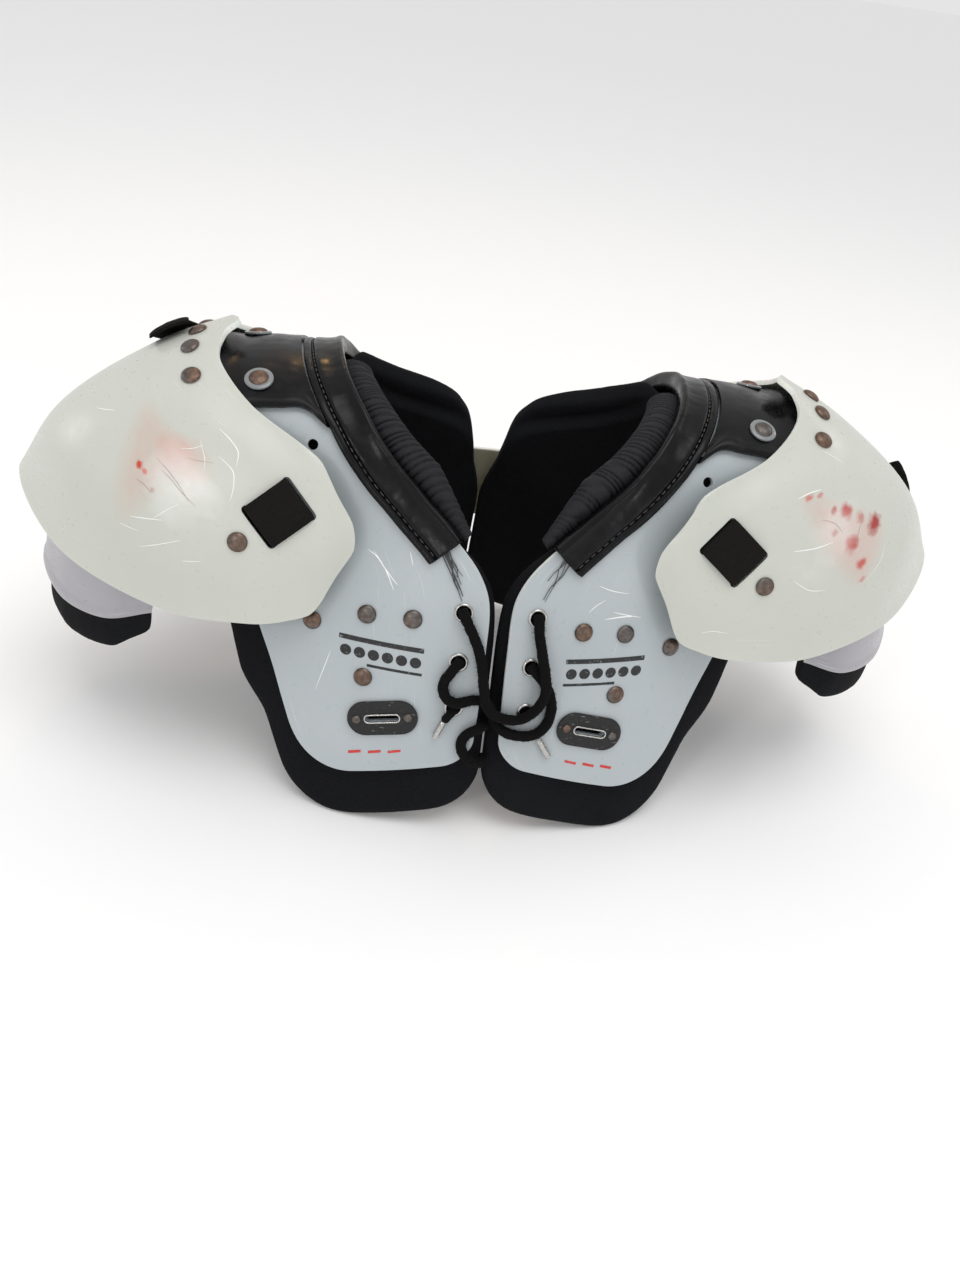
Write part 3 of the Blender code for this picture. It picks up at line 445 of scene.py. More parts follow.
def past_corner(share, end, corner):
    """A place along the arch for a share from -1 to 1, with places crowded where the end's corners turn."""
    straight, turned = end - corner, corner * math.pi / 2
    reach = abs(share) * (straight + turned)
    place = reach if reach < straight else straight + corner * math.sin((reach - straight) / corner)
    return math.copysign(place, share)


def rounded_span(inner, outer, s, end, corners):
    """The two edges at s, drawn in along a quarter circle each where the end's corners turn."""
    for side, corner in ((0, corners[0]), (1, corners[1])):
        past = min(max(abs(s) - (end - corner), 0.0), corner)
        drawn = corner - math.sqrt(corner**2 - past**2)
        inner, outer = (inner + drawn, outer) if side == 0 else (inner, outer - drawn)
    return inner, outer


def plate_span(s):
    return rounded_span(edge_at(PLATE_IN, s), edge_at(PLATE_OUT, s), s, PLATE_END, PLATE_CORNERS)


def laid_sheet(u_steps, v_steps, side, place_at, chart_at=None):
    """A grid with each corner at place_at(u, v), facing outward on either side. Its UV map holds chart_at."""
    shape = chart_grid(u_steps, v_steps)
    if chart_at:
        chart = shape.loops.layers.uv["chart"]
        for face in shape.faces:
            for loop in face.loops:
                loop[chart].uv = chart_at(loop.vert.co.x, loop.vert.co.y)
    for corner in shape.verts:
        corner.co = on_side(place_at(corner.co.x, corner.co.y), side)
    if side < 0:
        bmesh.ops.reverse_faces(shape, faces=shape.faces)
    return shape


def seat_matrix(point, along, normal, side):
    """Stands a shape on a surface: its Z is the surface's normal, and its X runs along a direction."""
    z_axis = Vector((side * normal.x, normal.y, normal.z)).normalized()
    x_axis = Vector((side * along.x, along.y, along.z))
    x_axis = (x_axis - z_axis * x_axis.dot(z_axis)).normalized()
    turn = Matrix((x_axis, z_axis.cross(x_axis), z_axis)).transposed().to_4x4()
    return Matrix.Translation(on_side(point, side)) @ turn


def on_arch_seat(place, height, side):
    point, along, _, normal = frame_on(arch_skin, *place)
    return seat_matrix(point + normal * height, along, normal, side)


def seated(shape, stand):
    bmesh.ops.transform(shape, matrix=stand, verts=shape.verts)
    return shape


def stadium_prism(length, width, low, high, steps=8):
    """A flat-ended prism over a slot outline, about its own Z axis."""
    shape = bmesh.new()
    radius, straight = width / 2, length / 2 - width / 2
    ring = []
    for end in (1, -1):
        for index in range(steps + 1):
            turn = math.pi * index / steps - math.pi / 2
            across, along = end * radius * math.sin(turn), end * (straight + radius * math.cos(turn))
            ring.append(shape.verts.new((along * MM, across * MM, low * MM)))
    grown = bmesh.ops.extrude_face_region(shape, geom=[shape.faces.new(ring)])
    lifted = [item for item in grown["geom"] if isinstance(item, bmesh.types.BMVert)]
    bmesh.ops.translate(shape, verts=lifted, vec=(0, 0, (high - low) * MM))
    bmesh.ops.recalc_face_normals(shape, faces=shape.faces)
    return shape


def round_bar(radius, low, high):
    """A cylinder about its own Z axis, used as a punch."""
    shape = bmesh.new()
    bmesh.ops.create_cone(
        shape, cap_ends=True, segments=28, radius1=radius * MM, radius2=radius * MM, depth=(high - low) * MM,
        matrix=Matrix.Translation((0, 0, (low + high) / 2 * MM)),
    )
    return shape


def belt_slot_seat(side):
    point, down, across, normal = frame_on(arch_skin, *BELT_SLOT)
    level = across * math.cos(BELT_SLOT_TURN) + down * math.sin(BELT_SLOT_TURN)
    return seat_matrix(point, level, normal, side)


def walled(piece, thickness, easing, punches=(), rim_finish=0):
    """Gives a sheet its wall on the inner side, eases its edges and punches its holes, all in its mesh."""
    wall = piece.modifiers.new("wall", "SOLIDIFY")
    wall.thickness, wall.offset, wall.use_even_offset = thickness * MM, -1.0, True
    wall.material_offset_rim = rim_finish
    ease = piece.modifiers.new("eased edge", "BEVEL")
    ease.width, ease.segments, ease.limit_method, ease.angle_limit = easing * MM, 3, "ANGLE", math.radians(50)
    cutters = []
    for shape, stand in punches:
        cutters.append(new_piece("punch", seated(shape, stand), []))
        hole = piece.modifiers.new("hole", "BOOLEAN")
        hole.object, hole.operation, hole.solver = cutters[-1], "DIFFERENCE", "EXACT"
    shaped = bpy.data.meshes.new_from_object(piece.evaluated_get(bpy.context.evaluated_depsgraph_get()))
    piece.modifiers.clear()
    rough_mesh, piece.data = piece.data, shaped
    shaped.set_sharp_from_angle(angle=math.radians(60))
    bpy.data.meshes.remove(rough_mesh)
    for cutter in cutters:
        bpy.data.meshes.remove(cutter.data)
    return piece


# Moulded high-density polyethylene: milky and waxy, with light scattered below its skin, a faint mould
# ripple, and hairline scratches. The chest plates look blue-grey because dark padding shows through them.
def polyethylene(name, light, deep, wear_scale, stains_and_highlights=()):
    made, tree, place = new_finish(name, {
        "Roughness": 0.34, "IOR": 1.5,
        "Subsurface Weight": 0.22, "Subsurface Scale": 0.004, "Subsurface Radius": (1.0, 0.9, 0.75),
    })
    cloudy = node(tree, "TexNoise", {"Vector": place, "Scale": 14.0, "Detail": 3.0})
    milk = blended(tree, cloudy, deep, light)
    # Hairlines along the skin, on its chart in metres: noise drawn out, and kept only where it peaks
    chart = node(tree, "UVMap", {"uv_map": "chart"})
    stretched = []
    for turn in (0.5, -0.9):
        layout = {"Vector": chart, "Rotation": (0.0, 0.0, turn), "Scale": (1.0, HAIRLINE_STRETCH, 1.0)}
        drawn = node(tree, "Mapping", layout)
        lines = node(tree, "TexNoise", {"Vector": drawn, "Scale": 22.0, "Detail": 1.0})
        peaks = {"Value": lines, "From Min": 0.71, "From Max": 0.77, "To Max": 0.5}
        stretched.append(node(tree, "MapRange", peaks).outputs[0])
    lines = node(tree, "Math", {"operation": "MAXIMUM", 0: stretched[0], 1: stretched[1]})
    patches = node(tree, "TexNoise", {"Vector": place, "Scale": wear_scale, "Detail": 2.0})
    where = node(tree, "MapRange", {"Value": patches, "From Min": 0.48, "From Max": 0.66})
    scratches = node(tree, "Math", {"operation": "MULTIPLY", 0: lines, 1: where})
    scuffs = node(tree, "TexNoise", {"Vector": place, "Scale": 260.0, "Detail": 4.0})
    worn_gloss = {"Value": scuffs, "From Min": 0.3, "From Max": 0.8, "To Min": 0.26, "To Max": 0.46}
    gloss = node(tree, "MapRange", worn_gloss)
    dulled = node(tree, "Math", {"operation": "MULTIPLY_ADD", 0: scratches, 1: 0.25, 2: gloss})
    ripple = node(tree, "TexNoise", {"Vector": place, "Scale": 55.0, "Detail": 1.0})
    bump = node(tree, "Bump", {"Strength": 0.5, "Distance": 0.0003, "Height": ripple})
    colour = blended(tree, scratches, milk, "#eff0ec")
    # Stains, and on the flaps a broad near-white spot that is a painted highlight.
    for corners, tint, strength, blur in stains_and_highlights:
        colour = marked(tree, chart, colour, corners, tint, strength, blur)
    feed(tree, {"Base Color": colour, "Roughness": dulled, "Normal": bump})
    return made


def marked(tree, chart, colour, corners, tint, strength, blur):
    """Tints a colour inside a polygon on the chart, or in a spot of radius blur round a lone corner. It
    paints stains, and the flaps' near-white spots, which are painted highlights.
    """
    rough = node(tree, "TexNoise", {"Vector": chart, "Scale": 0.9 / blur, "Detail": 4.0})
    if len(corners) == 1:
        reach = node(tree, "VectorMath", {"operation": "DISTANCE", 0: chart, 1: (*corners[0], 0.0)})
        wavy = {"operation": "MULTIPLY_ADD", 0: rough, 1: blur * 1.6, 2: reach.outputs["Value"]}
        ragged_edge = {"From Min": blur * 1.9, "From Max": blur * 1.2, "To Max": strength}
        cover = node(tree, "MapRange", {"Value": node(tree, "Math", wavy), **ragged_edge})
    else:
        middle = sum((Vector(corner) for corner in corners), Vector((0, 0))) / len(corners)
        patchy = {"From Min": 0.2, "From Max": 0.7, "To Min": strength * 0.6, "To Max": strength}
        cover = node(tree, "MapRange", {"Value": rough, **patchy})
        for a, b in zip(corners, corners[1:] + corners[:1]):
            inward = Vector((a[1] - b[1], b[0] - a[0])).normalized()
            inward *= 1 if inward.dot(middle - Vector(a)) > 0 else -1
            reach = node(tree, "VectorMath", {"operation": "DOT_PRODUCT", 0: chart, 1: (*inward, 0.0)})
            start = inward.dot(Vector(a))
            line = {"Value": reach.outputs["Value"], "From Min": start - blur, "From Max": start + blur}
            cover = node(tree, "Math", {"operation": "MULTIPLY", 0: cover, 1: node(tree, "MapRange", line)})
    return blended(tree, cover, colour, tint)


plate_plastic = polyethylene("moulded polyethylene over padding", "#b4babd", "#a3abaf", 26.0)
# The sawn and scraped rim of a sheet scatters more light than its moulded face, so it reads as a pale line.
rim_look = {"Roughness": 0.55, "IOR": 1.5, "Subsurface Weight": 0.3, "Subsurface Scale": 0.004}
rim_plastic, tree, place = new_finish("trimmed polyethylene edge", rim_look)
flecked(tree, place, 500.0, 3.0, "#d9dcd4", "#f3f4ee", (0.4, 0.0002))
for label, side in SIDES:

    def on_plate(u, v):
        s = past_corner(u * 2 - 1, PLATE_END, PLATE_CORNERS[1])
        inner, outer = plate_span(s)
        return arch_point(s, inner + (outer - inner) * v, PLATE_THICKNESS)

    def on_plate_chart(u, v):
        return past_corner(u * 2 - 1, PLATE_END, PLATE_CORNERS[1]) * MM, 0.12 * v

    sheet = laid_sheet(200, 50, side, on_plate, on_plate_chart)
    plate = new_piece(f"chest_and_back_plate_{label}", sheet, [plate_plastic, rim_plastic])
    punches = [(round_bar(EYELET_HOLE, *PUNCH_REACH), on_arch_seat(eyelet, 0.0, side)) for eyelet in EYELETS]
    punches.append((round_bar(VENT_HOLE, *PUNCH_REACH), on_arch_seat(VENT, 0.0, side)))
    punches.append((stadium_prism(19.0, 3.6, *PUNCH_REACH), belt_slot_seat(side)))
    fitted(walled(plate, PLATE_THICKNESS, 0.9, punches, 1), "moulded_polyethylene", f"body_arch_{label}")

# Bridge plate
# A cream polyethylene strap, 2.5 mm thick, riveted across the two back plates to keep them together.
BRIDGE_LOW, BRIDGE_HIGH, BRIDGE_HALF_WIDTH = -200.0, -136.0, 36.0
BRIDGE_THICKNESS, BRIDGE_GAP = 2.5, 0.4
bridge_plastic = polyethylene("yellowed moulded polyethylene", "#dddccd", "#cfcdb9", 30.0)


def on_bridge_chart(u, v):
    return (BRIDGE_HIGH - BRIDGE_LOW) * u * MM, 2 * BRIDGE_HALF_WIDTH * v * MM


def on_bridge(u, v):
    down, across = BRIDGE_LOW + (BRIDGE_HIGH - BRIDGE_LOW) * u, BRIDGE_HALF_WIDTH * (2 * v - 1)
    return arch_point(down, across, PLATE_THICKNESS + BRIDGE_GAP + BRIDGE_THICKNESS)


sheet = laid_sheet(32, 36, 1, on_bridge, on_bridge_chart)
bridge = new_piece("back_bridge_plate", sheet, [bridge_plastic, rim_plastic])
fitted(walled(bridge, BRIDGE_THICKNESS, 0.8, (), 1), "moulded_polyethylene", "back_bridge")

# Body pads
# Open-cell foam sewn into black nylon, wider than its plate all round, so that it shows as a puffed border.
# The cover puckers along its edge seam, and the shell's plate lies on it without pressing it flat.
PAD_STANDOFF, PAD_THICKNESS, PAD_END = 3.0, 16.0, 279.5
PAD_CORNERS = (24.0, 32.0)
END_ROUNDING, PUCKER_REACH, ROLL_SEAT_RISE = 8.0, 20.0, 7.5


def pad_span(s):
    """The pad's two edges at s. Below the neck the two halves' covers swell until they all but touch, and
    their black also stands in for the shade in the gap between the halves.
    """
    inner = edge_at(PAD_IN, s)
    # Drawn in this far partly for the covers' swell and partly as a dark fill for the shade in the gap.
    inner -= (inner - 0.7) * eased(abs(s), 128, 168)
    return rounded_span(inner, edge_at(PAD_OUT, s), s, PAD_END, PAD_CORNERS)


def pad_section(turn):
    """Across and depth share of a pad's section at a turn from 0 to 1: flat faces, half-round edges."""
    angle = turn * math.tau
    across, depth = math.cos(angle), math.sin(angle)
    flat = math.copysign(abs(across) ** 0.42, across)
    return 0.5 + 0.5 * flat, 0.5 * math.copysign(abs(depth) ** 0.6, depth)


# Woven nylon, calendered black: matt, with a slight sheen at grazing angles. Its weave is drawn 0.9 mm apart,
# three times the real thread spacing, so that it still shows.
nylon, tree, place = new_finish("black woven nylon", {"Roughness": 0.9, "Specular IOR Level": 0.12})
turned_place = node(tree, "Mapping", {"Vector": place, "Rotation": (0.6, 0.2, 0.78)})
warp = node(tree, "TexWave", {"Vector": turned_place, "bands_direction": "X", "Scale": 350.0})
weft = node(tree, "TexWave", {"Vector": turned_place, "bands_direction": "Z", "Scale": 350.0})
weave = node(tree, "Math", {"operation": "MULTIPLY", 0: warp, 1: weft})
fluff = node(tree, "TexNoise", {"Vector": place, "Scale": 700.0, "Detail": 3.0})
dust = node(tree, "TexNoise", {"Vector": place, "Scale": 22.0, "Detail": 4.0})
greyed = node(tree, "MapRange", {"Value": dust, "From Min": 0.5, "From Max": 0.8, "To Max": 0.35})
relief = node(tree, "Math", {"operation": "MULTIPLY_ADD", 0: weave, 1: 0.5, 2: fluff})
bump = node(tree, "Bump", {"Strength": 0.35, "Distance": 0.0003, "Height": relief})
thread = blended(tree, fluff, "#09090b", "#191a1d")
feed(tree, {"Base Color": blended(tree, greyed, thread, "#1c1e22"), "Normal": bump})


def closed_loft(u_steps, v_steps, side, place_at, size=(1.0, 1.0)):
    """A grid rolled up into a closed form: v goes round its section, and both ends are filled."""
    shape = chart_grid(u_steps, v_steps, *size)
    for corner in shape.verts:
        corner.co = on_side(place_at(corner.co.x, corner.co.y % 1.0), side)
    return closed_up(shape)


def puckers(s, x, along_edge):
    """Height of the cover's puckers: short folds across the edge seam, over softer swellings of the foam."""
    fold = lumps(along_edge / 11.0, x / 60.0, 3.1) + 0.5 * lumps(along_edge / 5.0, 7.7, x / 30.0)
    return 1.1 * fold + 0.9 * lumps(s / 34.0, x / 30.0, 9.4)


for label, side in SIDES:

    def on_pad(u, v):
        s = past_corner(u * 2 - 1, PAD_END, PAD_CORNERS[1])
        inner, outer = pad_span(s)
        across, depth = pad_section(v)
        end_share = max(0.0, abs(s) - (PAD_END - END_ROUNDING)) / END_ROUNDING
        thickness = PAD_THICKNESS * (0.4 + 0.6 * math.sqrt(1 - min(1.0, end_share) ** 2))
        x = inner + (outer - inner) * across
        from_edge = min(x - inner, outer - x, PAD_END - abs(s))
        near = max(0.0, 1 - from_edge / PUCKER_REACH)
        swell = puckers(s, side * x, s + x * 0.3) * near * 1.1
        beside_neck = eased(edge_at(PLATE_IN, s) - 3.5 - x, 0.0, 7.0)
        rise = ROLL_SEAT_RISE * beside_neck * eased(-s, 4, 40) * (1 - eased(-s, 92, 120))
        return arch_point(s, x, -PAD_STANDOFF - PAD_THICKNESS / 2 + (thickness + swell) * depth + rise)

    shape = closed_loft(240, 96, side, on_pad, (0.56, 0.3))
    everything = shape.verts[:] + shape.edges[:] + shape.faces[:]
    sliced = bmesh.ops.bisect_plane(
        shape, geom=everything, plane_co=(0, 0, 0), plane_no=(0, 0, 1), clear_inner=True
    )
    cut_edges = [item for item in sliced["geom_cut"] if isinstance(item, bmesh.types.BMEdge)]
    bmesh.ops.holes_fill(shape, edges=cut_edges, sides=0)
    pad = new_piece(f"body_pad_cover_{label}", shape, [nylon], 70)
    fitted(pad, "black_nylon_over_foam", f"body_pad_{label}")

# Neck channels
# A stiff black vinyl binding folded over the neck edge of each plate, sewn through near its outer edge.
# The seam draws the vinyl into a groove with a narrow welt outside it, and the fold stands up as a lip.
CHANNEL_FRONT, CHANNEL_BACK = 110.0, -88.0
CHANNEL_SECTION = (
    (19.5, 4.1), (19.5, 5.5), (19.1, 6.1), (16.4, 6.3), (15.3, 5.9), (14.8, 4.4), (14.2, 4.4), (13.7, 6.2),
    (12.6, 6.7), (9.5, 6.6), (5.0, 6.9), (2.0, 7.7), (1.2, 8.4), (-0.6, 8.5), (-1.6, 7.4), (-2.8, 4.0),
    (-2.8, -0.8), (-1.9, -2.4), (1.0, -2.6), (6.0, -2.6), (6.0, -1.3), (0.0, -1.2), (-1.2, -0.4), (-1.2, 3.6),
    (2.0, 4.1), (9.5, 4.1),
)
CREASE_FROM = 4.2
SEAM_INTO, SEAM_HEIGHT, STITCHES, STITCH_SPACING, STITCH_LENGTH = 14.5, 5.4, 62, 3.15, 2.3


def beside_edge(column, s, into, height):
    """A point a distance across one of the curves of EDGES, and at a height above the arch's inner face."""
    edge = edge_at(column, s)
    slope = edge_at(column, s + 1) - edge
    length = math.hypot(1, slope)
    return arch_point(s - into * slope / length, edge + into / length, height)


def neck_point(s, into, height):
    """A point a distance into the plate from its neck edge, and at a height above its inner face."""
    return beside_edge(PLATE_IN, s, into, height)


# Plasticised vinyl sheet with a calendered face: a deep gloss, hazed grey by handling, with rubbed spots.
vinyl_look = {"Roughness": 0.3, "IOR": 1.5, "Specular IOR Level": 0.2}
vinyl, tree, place = new_finish("black calendered vinyl", vinyl_look)
scuff = node(tree, "TexNoise", {"Vector": place, "Scale": 110.0, "Detail": 6.0, "Roughness": 0.62})
bloom = node(tree, "TexNoise", {"Vector": place, "Scale": 24.0, "Detail": 4.0})
worn = node(tree, "MapRange", {"Value": scuff, "From Min": 0.56, "From Max": 0.75})
rubbed = blended(tree, worn, "#050507", "#121215")
hazy = node(tree, "MapRange", {"Value": bloom, "From Min": 0.48, "From Max": 0.7, "To Max": 0.4})
gloss = node(
    tree, "MapRange", {"Value": scuff, "From Min": 0.35, "From Max": 0.75, "To Min": 0.17, "To Max": 0.42}
)
soft = node(tree, "TexNoise", {"Vector": place, "Scale": 48.0, "Detail": 2.0})
relief = node(tree, "Math", {"operation": "MULTIPLY_ADD", 0: soft, 1: 4.0, 2: scuff})
bump = node(tree, "Bump", {"Strength": 0.2, "Distance": 0.0003, "Height": relief})
feed(tree, {"Base Color": blended(tree, hazy, rubbed, "#131418"), "Roughness": gloss, "Normal": bump})
# Waxed nylon thread: grey fibres that catch the light against the black vinyl.
seam_thread, tree, place = new_finish("waxed grey-black nylon thread", {"Roughness": 0.6})
flecked(tree, place, 1500.0, 2.0, "#151517", "#56575a")
for label, side in SIDES:
    section = [Vector((into, height, 0)) for into, height in CHANNEL_SECTION]
    section.append(section[0])

    def on_channel(u, v):
        s = CHANNEL_FRONT + (CHANNEL_BACK - CHANNEL_FRONT) * u
        spot = v * (len(section) - 1)
        a, b = section[int(spot)], section[min(int(spot) + 1, len(section) - 1)]
        into, height = a.lerp(b, spot - int(spot)).xy
        crease = lumps(s / 9.0, into / 12.0, side * 5.0) * 0.35 + lumps(s / 2.6, into / 5.0, 2.0) * 0.12
        drift = 0.3 * lumps(s / 14.0, side * 3.0, 1.0)
        return neck_point(s, into + drift, height + (crease if height > CREASE_FROM else 0.0))

    folded = closed_loft(230, len(section) - 1, side, on_channel, (0.2, 0.06))
    channel = new_piece(f"neck_binding_{label}", folded, [vinyl], 80)
    soften = channel.modifiers.new("soften", "SUBSURF")
    soften.levels = soften.render_levels = 1
    fitted(channel, "black_vinyl", f"neck_channel_{label}")
    stitches = bmesh.new()
    for index in range(STITCHES):
        s = CHANNEL_FRONT - 2.0 - index * STITCH_SPACING
        a, b = (on_side(neck_point(end, SEAM_INTO, SEAM_HEIGHT), side) for end in (s, s - STITCH_LENGTH))
        stand = pointing((a + b) / 2, b - a) @ Matrix.Diagonal((0.7 * MM, 0.7 * MM, (b - a).length, 1.0))
        bmesh.ops.create_uvsphere(stitches, u_segments=8, v_segments=6, radius=0.5, matrix=stand)
    fitted(new_piece(f"neck_stitches_{label}", stitches, [seam_thread]), "black_vinyl")

# Neck rolls
# A foam cord in stretch nylon, gathered tight along its length, which cushions the neck beside the binding.
# The gathers are about 3 mm apart and lean a little to one side.
ROLL_RADIUS, ROLL_FRONT, ROLL_BACK = 9.6, 112.0, -14.0
GATHER_SPACING, GATHER_DEPTH = 3.1, 0.18
# Stretch nylon, dyed charcoal: a fine soft knit with a little more sheen than the pads' cover.
roll_look = {"Roughness": 0.75, "Specular IOR Level": 0.25}
roll_nylon, tree, place = new_finish("charcoal stretch nylon", roll_look)
flecked(tree, place, 800.0, 3.0, "#151518", "#2a2a2e", (0.3, 0.0002))
for label, side in SIDES:

    def on_roll(u, v):
        s = ROLL_FRONT + (ROLL_BACK - ROLL_FRONT) * u
        full = ROLL_RADIUS * min(1.0, 0.35 + 3 * u, 0.45 + 4 * (1 - u))
        turn = v * math.tau
        drift = 1.6 * lumps(s / 18.0, 4.0, side) + 1.1 * math.sin(turn + 0.6)
        spread = (s + drift * 2.2) / GATHER_SPACING + 0.9 * lumps(s / 6.0, 2.0, side)
        groove = math.exp(-(((spread % 1.0) - 0.5) / 0.13) ** 2)
        uneven = 0.03 * lumps(s / 9.0, math.cos(turn), math.sin(turn))
        radius = full * (1.05 - GATHER_DEPTH * groove + uneven)
        into = radius * math.cos(turn) - full - 2.6
        return beside_edge(PAD_IN, s, into, -6.5 + 0.85 * radius * math.sin(turn))

    gathered = closed_loft(300, 32, side, on_roll, (0.13, 0.05))
    roll = new_piece(f"gathered_neck_roll_{label}", gathered, [roll_nylon], 80)
    fitted(roll, "black_nylon_over_foam", f"neck_roll_{label}")

# Shoulder flaps
# One moulded polyethylene shell over each shoulder, 3 mm thick, hinged on the saddle strap by its neck edge.
# It is milkier than the chest plates, scratched by blows, and slotted front and back for a webbing loop.
FLAP_ROWS = (
    ((92, -79, 192), (83, -84, 177), (81.5, -87, 160), (91, -92, 140)),
    ((98, -76, 202), (94, -85, 184), (93, -91, 162), (98, -95, 128)),
    ((110, -69, 210), (107, -82, 190), (107, -93, 161), (111, -97, 122)),
    ((138, -53.5, 222.5), (139, -76, 201), (138, -94, 161), (136, -98, 118)),
    ((157, -30, 235.5), (175, -58, 214), (186, -84, 170), (184, -90, 119)),
    ((157.5, -14, 244.7), (196, -29, 222), (230, -53, 183), (242, -57, 132)),
    ((151.5, 0, 247.8), (202, 0, 224), (249, 0, 190), (274, 0, 152)),
)
FLAP_THICKNESS, FLAP_CORNER, FLAP_CORNER_DRAW = 3.0, 1.5, 0.96
LOOP_PLACE, LOOP_RIVET_PLACE = (9.52, 1.46), (8.95, 1.92)
LOOP_SLOTS, LOOP_SLOT = (-12.6, 12.6), (26.0, 4.6)


def shell_skin(front_rows):
    """A skin over u, from the back corner to the front corner, and v, from the neck edge to the rim."""
    front = [[Vector(point) for point in row] for row in front_rows]
    back = [[Vector((point.x, -point.y, point.z)) for point in row] for row in front[:-1]]
    rows = back + front[::-1]

    def skin(u, v):
        first = max(0, min(int(u), len(rows) - 2) - 1)
        near = [smooth_through(row, max(0.0, min(3.0, v))) for row in rows[first : first + 4]]
        return smooth_through(near, u - first)

    return skin


def shell_frame(skin, end, u, v):
    return frame_on(skin, min(max(u, 0.02), end - 0.02), min(max(v, 0.02), 2.98), 0.02)


def shell_point(skin, end, u, v, height):
    return skin(u, v) + shell_frame(skin, end, u, v)[3] * height


flap_skin = shell_skin(FLAP_ROWS)
FLAP_END = 2.0 * (len(FLAP_ROWS) - 1)


def flap_place_near(place, move):
    """The (u, v) of the flap reached by a move in millimetres along its surface."""
    u, v = place
    for _ in range(4):
        eu = (flap_skin(u + 0.02, v) - flap_skin(u - 0.02, v)) / 0.04
        ev = (flap_skin(u, v + 0.02) - flap_skin(u, v - 0.02)) / 0.04
        rest = flap_skin(*place) + move - flap_skin(u, v)
        a, b, c = eu.dot(eu), eu.dot(ev), ev.dot(ev)
        p, q = rest.dot(eu), rest.dot(ev)
        u += (c * p - b * q) / (a * c - b * b)
        v += (a * q - b * p) / (a * c - b * b)
    return u, v


def loop_axes():
    """Direction of the webbing, from its rivet to the patch, and the direction of its width."""
    point, _, _, normal = shell_frame(flap_skin, FLAP_END, *LOOP_PLACE)
    run = point - flap_skin(*LOOP_RIVET_PLACE)
    run = (run - normal * run.dot(normal)).normalized()
    return run, normal.cross(run)


def on_flap_chart(u, v):
    """The flap's chart in metres: a step of u is about 36 mm and a step of v about 45 mm."""
    return u * 0.036, v * 0.045


# Each flap has a faded pink triangle of old dye and a few red flecks in the worn patch, and over that patch a
# broad near-white spot, which is a painted highlight.
FLAP_STAINS_AND_HIGHLIGHTS = {
    "left": (
        (((7.45, 1.12), (8.38, 1.2), (7.72, 2.15)), "#c79c8c", 0.42, 0.0045),
        (((7.78, 1.61),), "#c2301c", 0.95, 0.0018), (((7.86, 1.63),), "#c8452f", 0.8, 0.0014),
        (((8.28, 1.32),), "#d59a8d", 0.4, 0.012), (((8.0, 1.74),), "#9c4a3c", 0.5, 0.0012),
        # A broad near-white spot over the worn patch: a painted highlight.
        (((8.25, 1.6),), "#e9e8e6", 0.4, 0.016),
    ),
    "right": (
        (((8.55, 0.98), (7.35, 1.67), (7.72, 2.2), (8.2, 1.75)), "#cf998f", 0.4, 0.004),
        (((7.9, 1.37),), "#b02b22", 0.95, 0.0042), (((7.48, 1.64),), "#9c221d", 0.95, 0.0048),
        (((7.88, 1.7),), "#b03027", 0.9, 0.0044), (((7.75, 1.95),), "#bb4036", 0.85, 0.003),
        (((8.45, 1.02),), "#bf5347", 0.7, 0.0026), (((8.28, 1.06),), "#bf5347", 0.6, 0.002),
        (((8.1, 1.3),), "#a8362c", 0.8, 0.0024), (((8.12, 1.52),), "#9c2a24", 0.7, 0.002),
        (((7.68, 1.5),), "#b5443a", 0.6, 0.0028), (((7.72, 2.14),), "#c05a4c", 0.6, 0.0016),
        # A broad near-white spot over the worn patch: a painted highlight.
        (((8.1, 1.5),), "#e6dfdc", 0.35, 0.014),
    ),
}
run, width = loop_axes()
for label, side in SIDES:

    def on_flap(u, v):
        place = u * FLAP_END
        near_end = max(0.0, abs(place - FLAP_END / 2) - FLAP_END / 2 + FLAP_CORNER) / FLAP_CORNER
        drawn_in = math.sqrt(1 - (FLAP_CORNER_DRAW * near_end) ** 2)
        return flap_skin(place, 1.5 + (v - 0.5) * 3.0 * drawn_in)

    stains_and_highlights = [([on_flap_chart(*corner) for corner in corners], *rest) for corners, *rest in FLAP_STAINS_AND_HIGHLIGHTS[label]]
    flap_plastic = polyethylene(f"milky moulded polyethylene {label}", "#c9cac2", "#bdc0b8", 12.0, stains_and_highlights)
    sheet = laid_sheet(180, 72, side, on_flap, lambda u, v: on_flap_chart(u * FLAP_END, v * 3.0))
    flap = new_piece(f"shoulder_shell_{label}", sheet, [flap_plastic, rim_plastic])
    punches = []
    for offset in LOOP_SLOTS:
        point, _, _, normal = shell_frame(flap_skin, FLAP_END, *flap_place_near(LOOP_PLACE, run * offset))
        for depth in (1, -1):
            turned_place = [Vector((v.x, depth * v.y, v.z)) for v in (point, width, normal)]
            punches.append((stadium_prism(*LOOP_SLOT, -9, 7), seat_matrix(*turned_place, side)))
    fitted(walled(flap, FLAP_THICKNESS, 1.1, punches, 1), "moulded_polyethylene", f"shoulder_flap_{label}")

